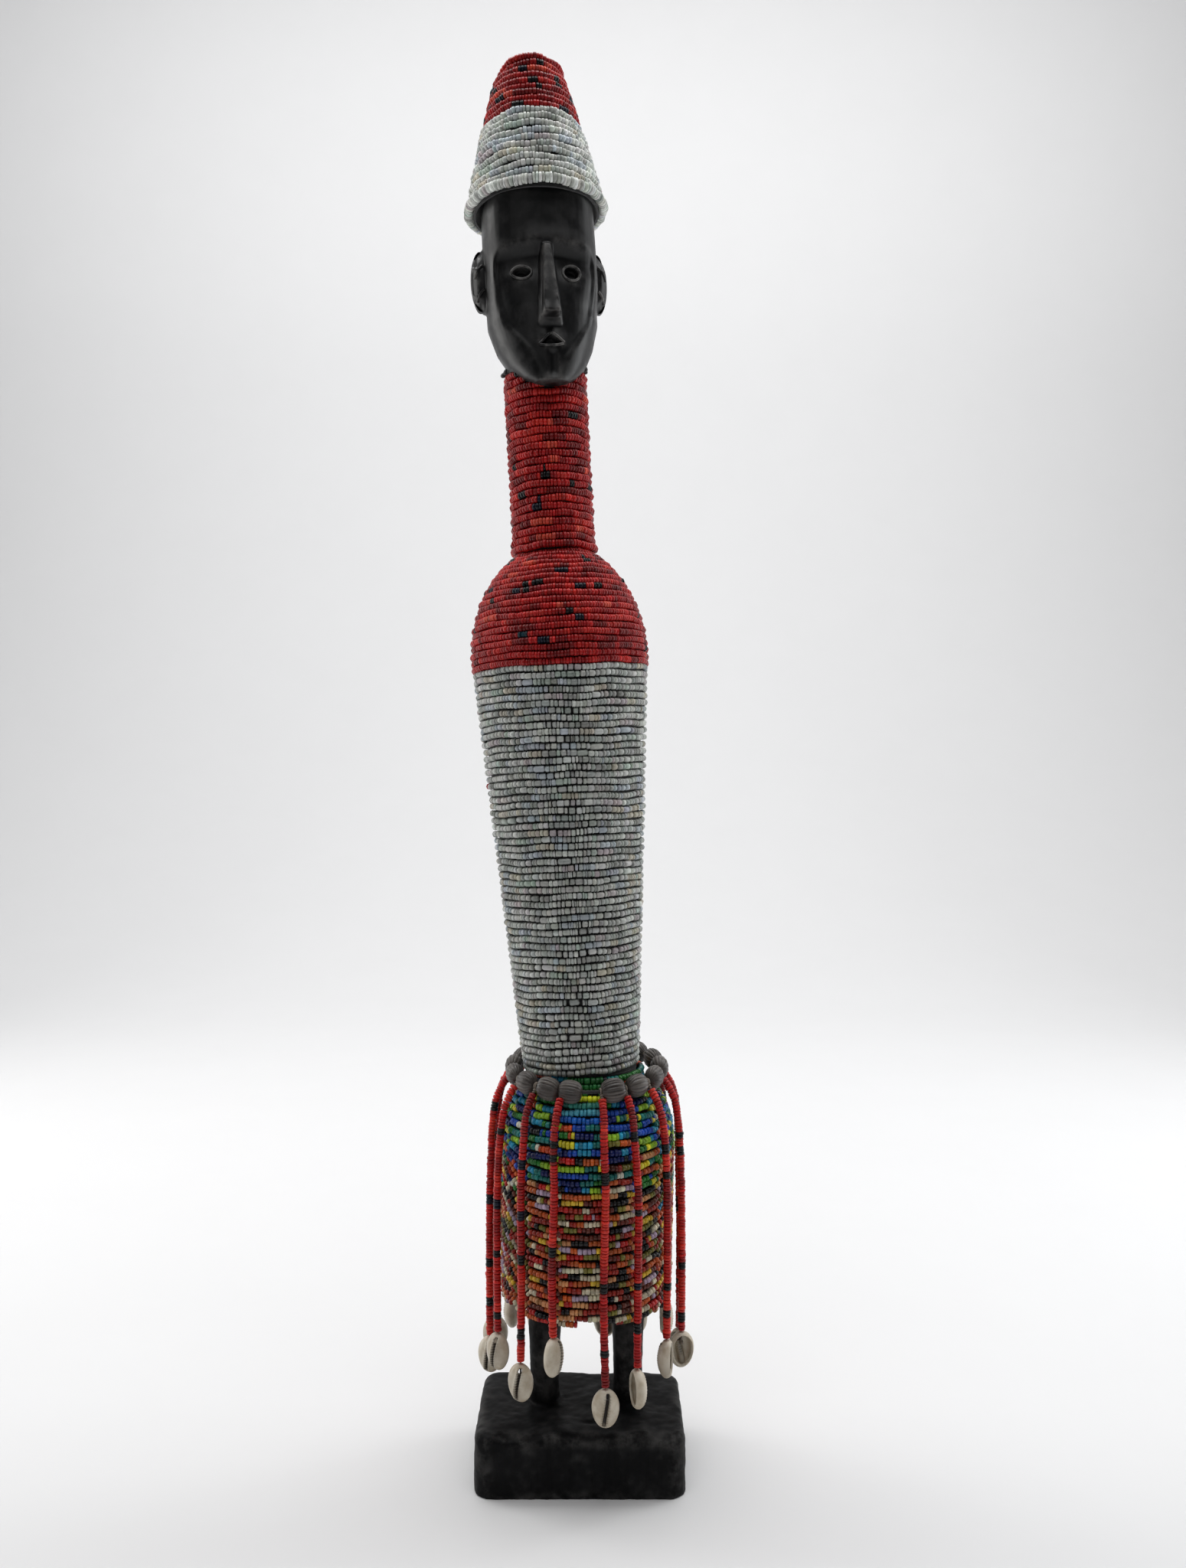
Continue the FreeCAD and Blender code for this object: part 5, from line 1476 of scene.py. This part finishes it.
class DOLL_OT_cap(bpy.types.Operator):
    """Lays the cap's grey rows, red rows and brim roll over its lining"""
    bl_idname = "doll.cap"
    bl_label = "Cap"

    def execute(self, context):
        sizes = context.scene.doll_sizes
        rng = np.random.default_rng(sizes.seed + 7)
        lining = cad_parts["cap_lining"]
        lining.data.materials.clear()
        lining.data.materials.append(FINISHES["lining"])
        shape = bead_shape(8, 0.26)
        rows = []
        for k in range(10):
            up = 7.2 + 3.85 * k
            radius = float(cap_radius(up)) + 0.3 + 1.9
            angle, length = ring(rng, radius, 1.9, 0.28)
            own = ripple(rng, angle, (0.35, 3), (0.22, 7))
            height = up + wander(angle, 3 * up, 1.1 * sizes.waviness / MM) + own
            made = beads_at(rng, angle, height, radius + 0.3 * np.sin(5 * angle + k), length, 3.15,
                            loose=1.5, gap=0.12)
            rows.append(list(made) + [CAP_PALER * pick(rng, len(angle), GREYS, GREY_SHARES, 1, 5, 0.06)])
        piece = bead_piece("cap_grey_rows", shape, rows, CAP)
        finish_piece(piece, "cap_grey_rows", "cap", FINISHES["grey"], "grey_beads", "cap_grey_beads")
        heights = [45.4 + 3.5 * k for k in range(9)]
        path = [(up, float(cap_radius(up)) + BEAD_REST + 0.2 * k, 3.4) for k, up in enumerate(heights)]
        path += [(74.2, 12.8, 3.4), (74.2, 9.3, 3.4), (74.2, 5.8, 3.4), (74.2, 2.2, 3.2)]
        rows = red_rows(rng, path, sizes)
        for row in rows:
            x, z = row[0][:, 0], row[0][:, 2]
            row[0][:, 2] -= np.clip(-x - 9.0, 0, 9) * 0.72 * step(66, 72, z)
            row[0][:, 2] += 0.5 * np.sin(x / 4 + 1) * step(64, 70, z)
        in_front = [(70, 0.35), (66, -0.15), (58, 0.1), (52, -0.7)]
        darken_patches(rng, rows, scatter(rng, 22, 46, 76, in_front), 5.0, 2.0)
        piece = bead_piece("cap_red_rows", shape, rows, CAP)
        finish_piece(piece, "cap_red_rows", "cap", FINISHES["red"], "red_beads", "cap_red_beads")
        shape = bead_shape(12, 0.30)
        radius = 34.9
        angle, length = ring(rng, radius, 1.75, 0.22)
        own = 0.35 * np.sin(3 * angle + 1) + 0.25 * np.sin(8 * angle)
        made = beads_at(rng, angle, 2.7 + own, radius + 0.25 * np.sin(6 * angle), length, 4.8,
                        loose=1.6, gap=0.10)
        tones = CAP_PALER * pick(rng, len(angle), GREYS, GREY_SHARES, 1, 2, 0.07)
        piece = bead_piece("cap_brim_roll", shape, [list(made) + [tones]], CAP)
        finish_piece(piece, "cap_brim_roll", "cap", FINISHES["brim"], "brim_beads", "cap_brim_beads")
        return {"FINISHED"}


class DOLL_PT_panel(bpy.types.Panel):
    """The doll's pieces, sizes and colours"""
    bl_label = "Beaded Doll"
    bl_idname = "DOLL_PT_panel"
    bl_space_type = "VIEW_3D"
    bl_region_type = "UI"
    bl_category = "Beaded Doll"

    def draw(self, context):
        layout = self.layout
        for group in (context.scene.doll_sizes, context.scene.doll_colours):
            for name in group.__annotations__:
                layout.prop(group, name)
        for operator in OPERATORS:
            layout.operator(operator.bl_idname)


OPERATORS = (DOLL_OT_stage, DOLL_OT_fringe, DOLL_OT_carving, DOLL_OT_torso, DOLL_OT_shoulders, DOLL_OT_skirt,
             DOLL_OT_belt, DOLL_OT_cap)
CLASSES = (DollSizes, DollColours) + OPERATORS + (DOLL_PT_panel,)


def register():
    for cls in CLASSES:
        bpy.utils.register_class(cls)
    bpy.types.Scene.doll_sizes = PointerProperty(type=DollSizes)
    bpy.types.Scene.doll_colours = PointerProperty(type=DollColours)


def unregister():
    del bpy.types.Scene.doll_colours
    del bpy.types.Scene.doll_sizes
    for cls in reversed(CLASSES):
        bpy.utils.unregister_class(cls)


def main():
    register()
    bpy.ops.doll.stage()
    bpy.ops.doll.fringe()
    bpy.ops.doll.carving()
    bpy.ops.doll.torso()
    bpy.ops.doll.shoulders()
    bpy.ops.doll.skirt()
    bpy.ops.doll.belt()
    bpy.ops.doll.cap()


if __name__ == "__main__":
    main()
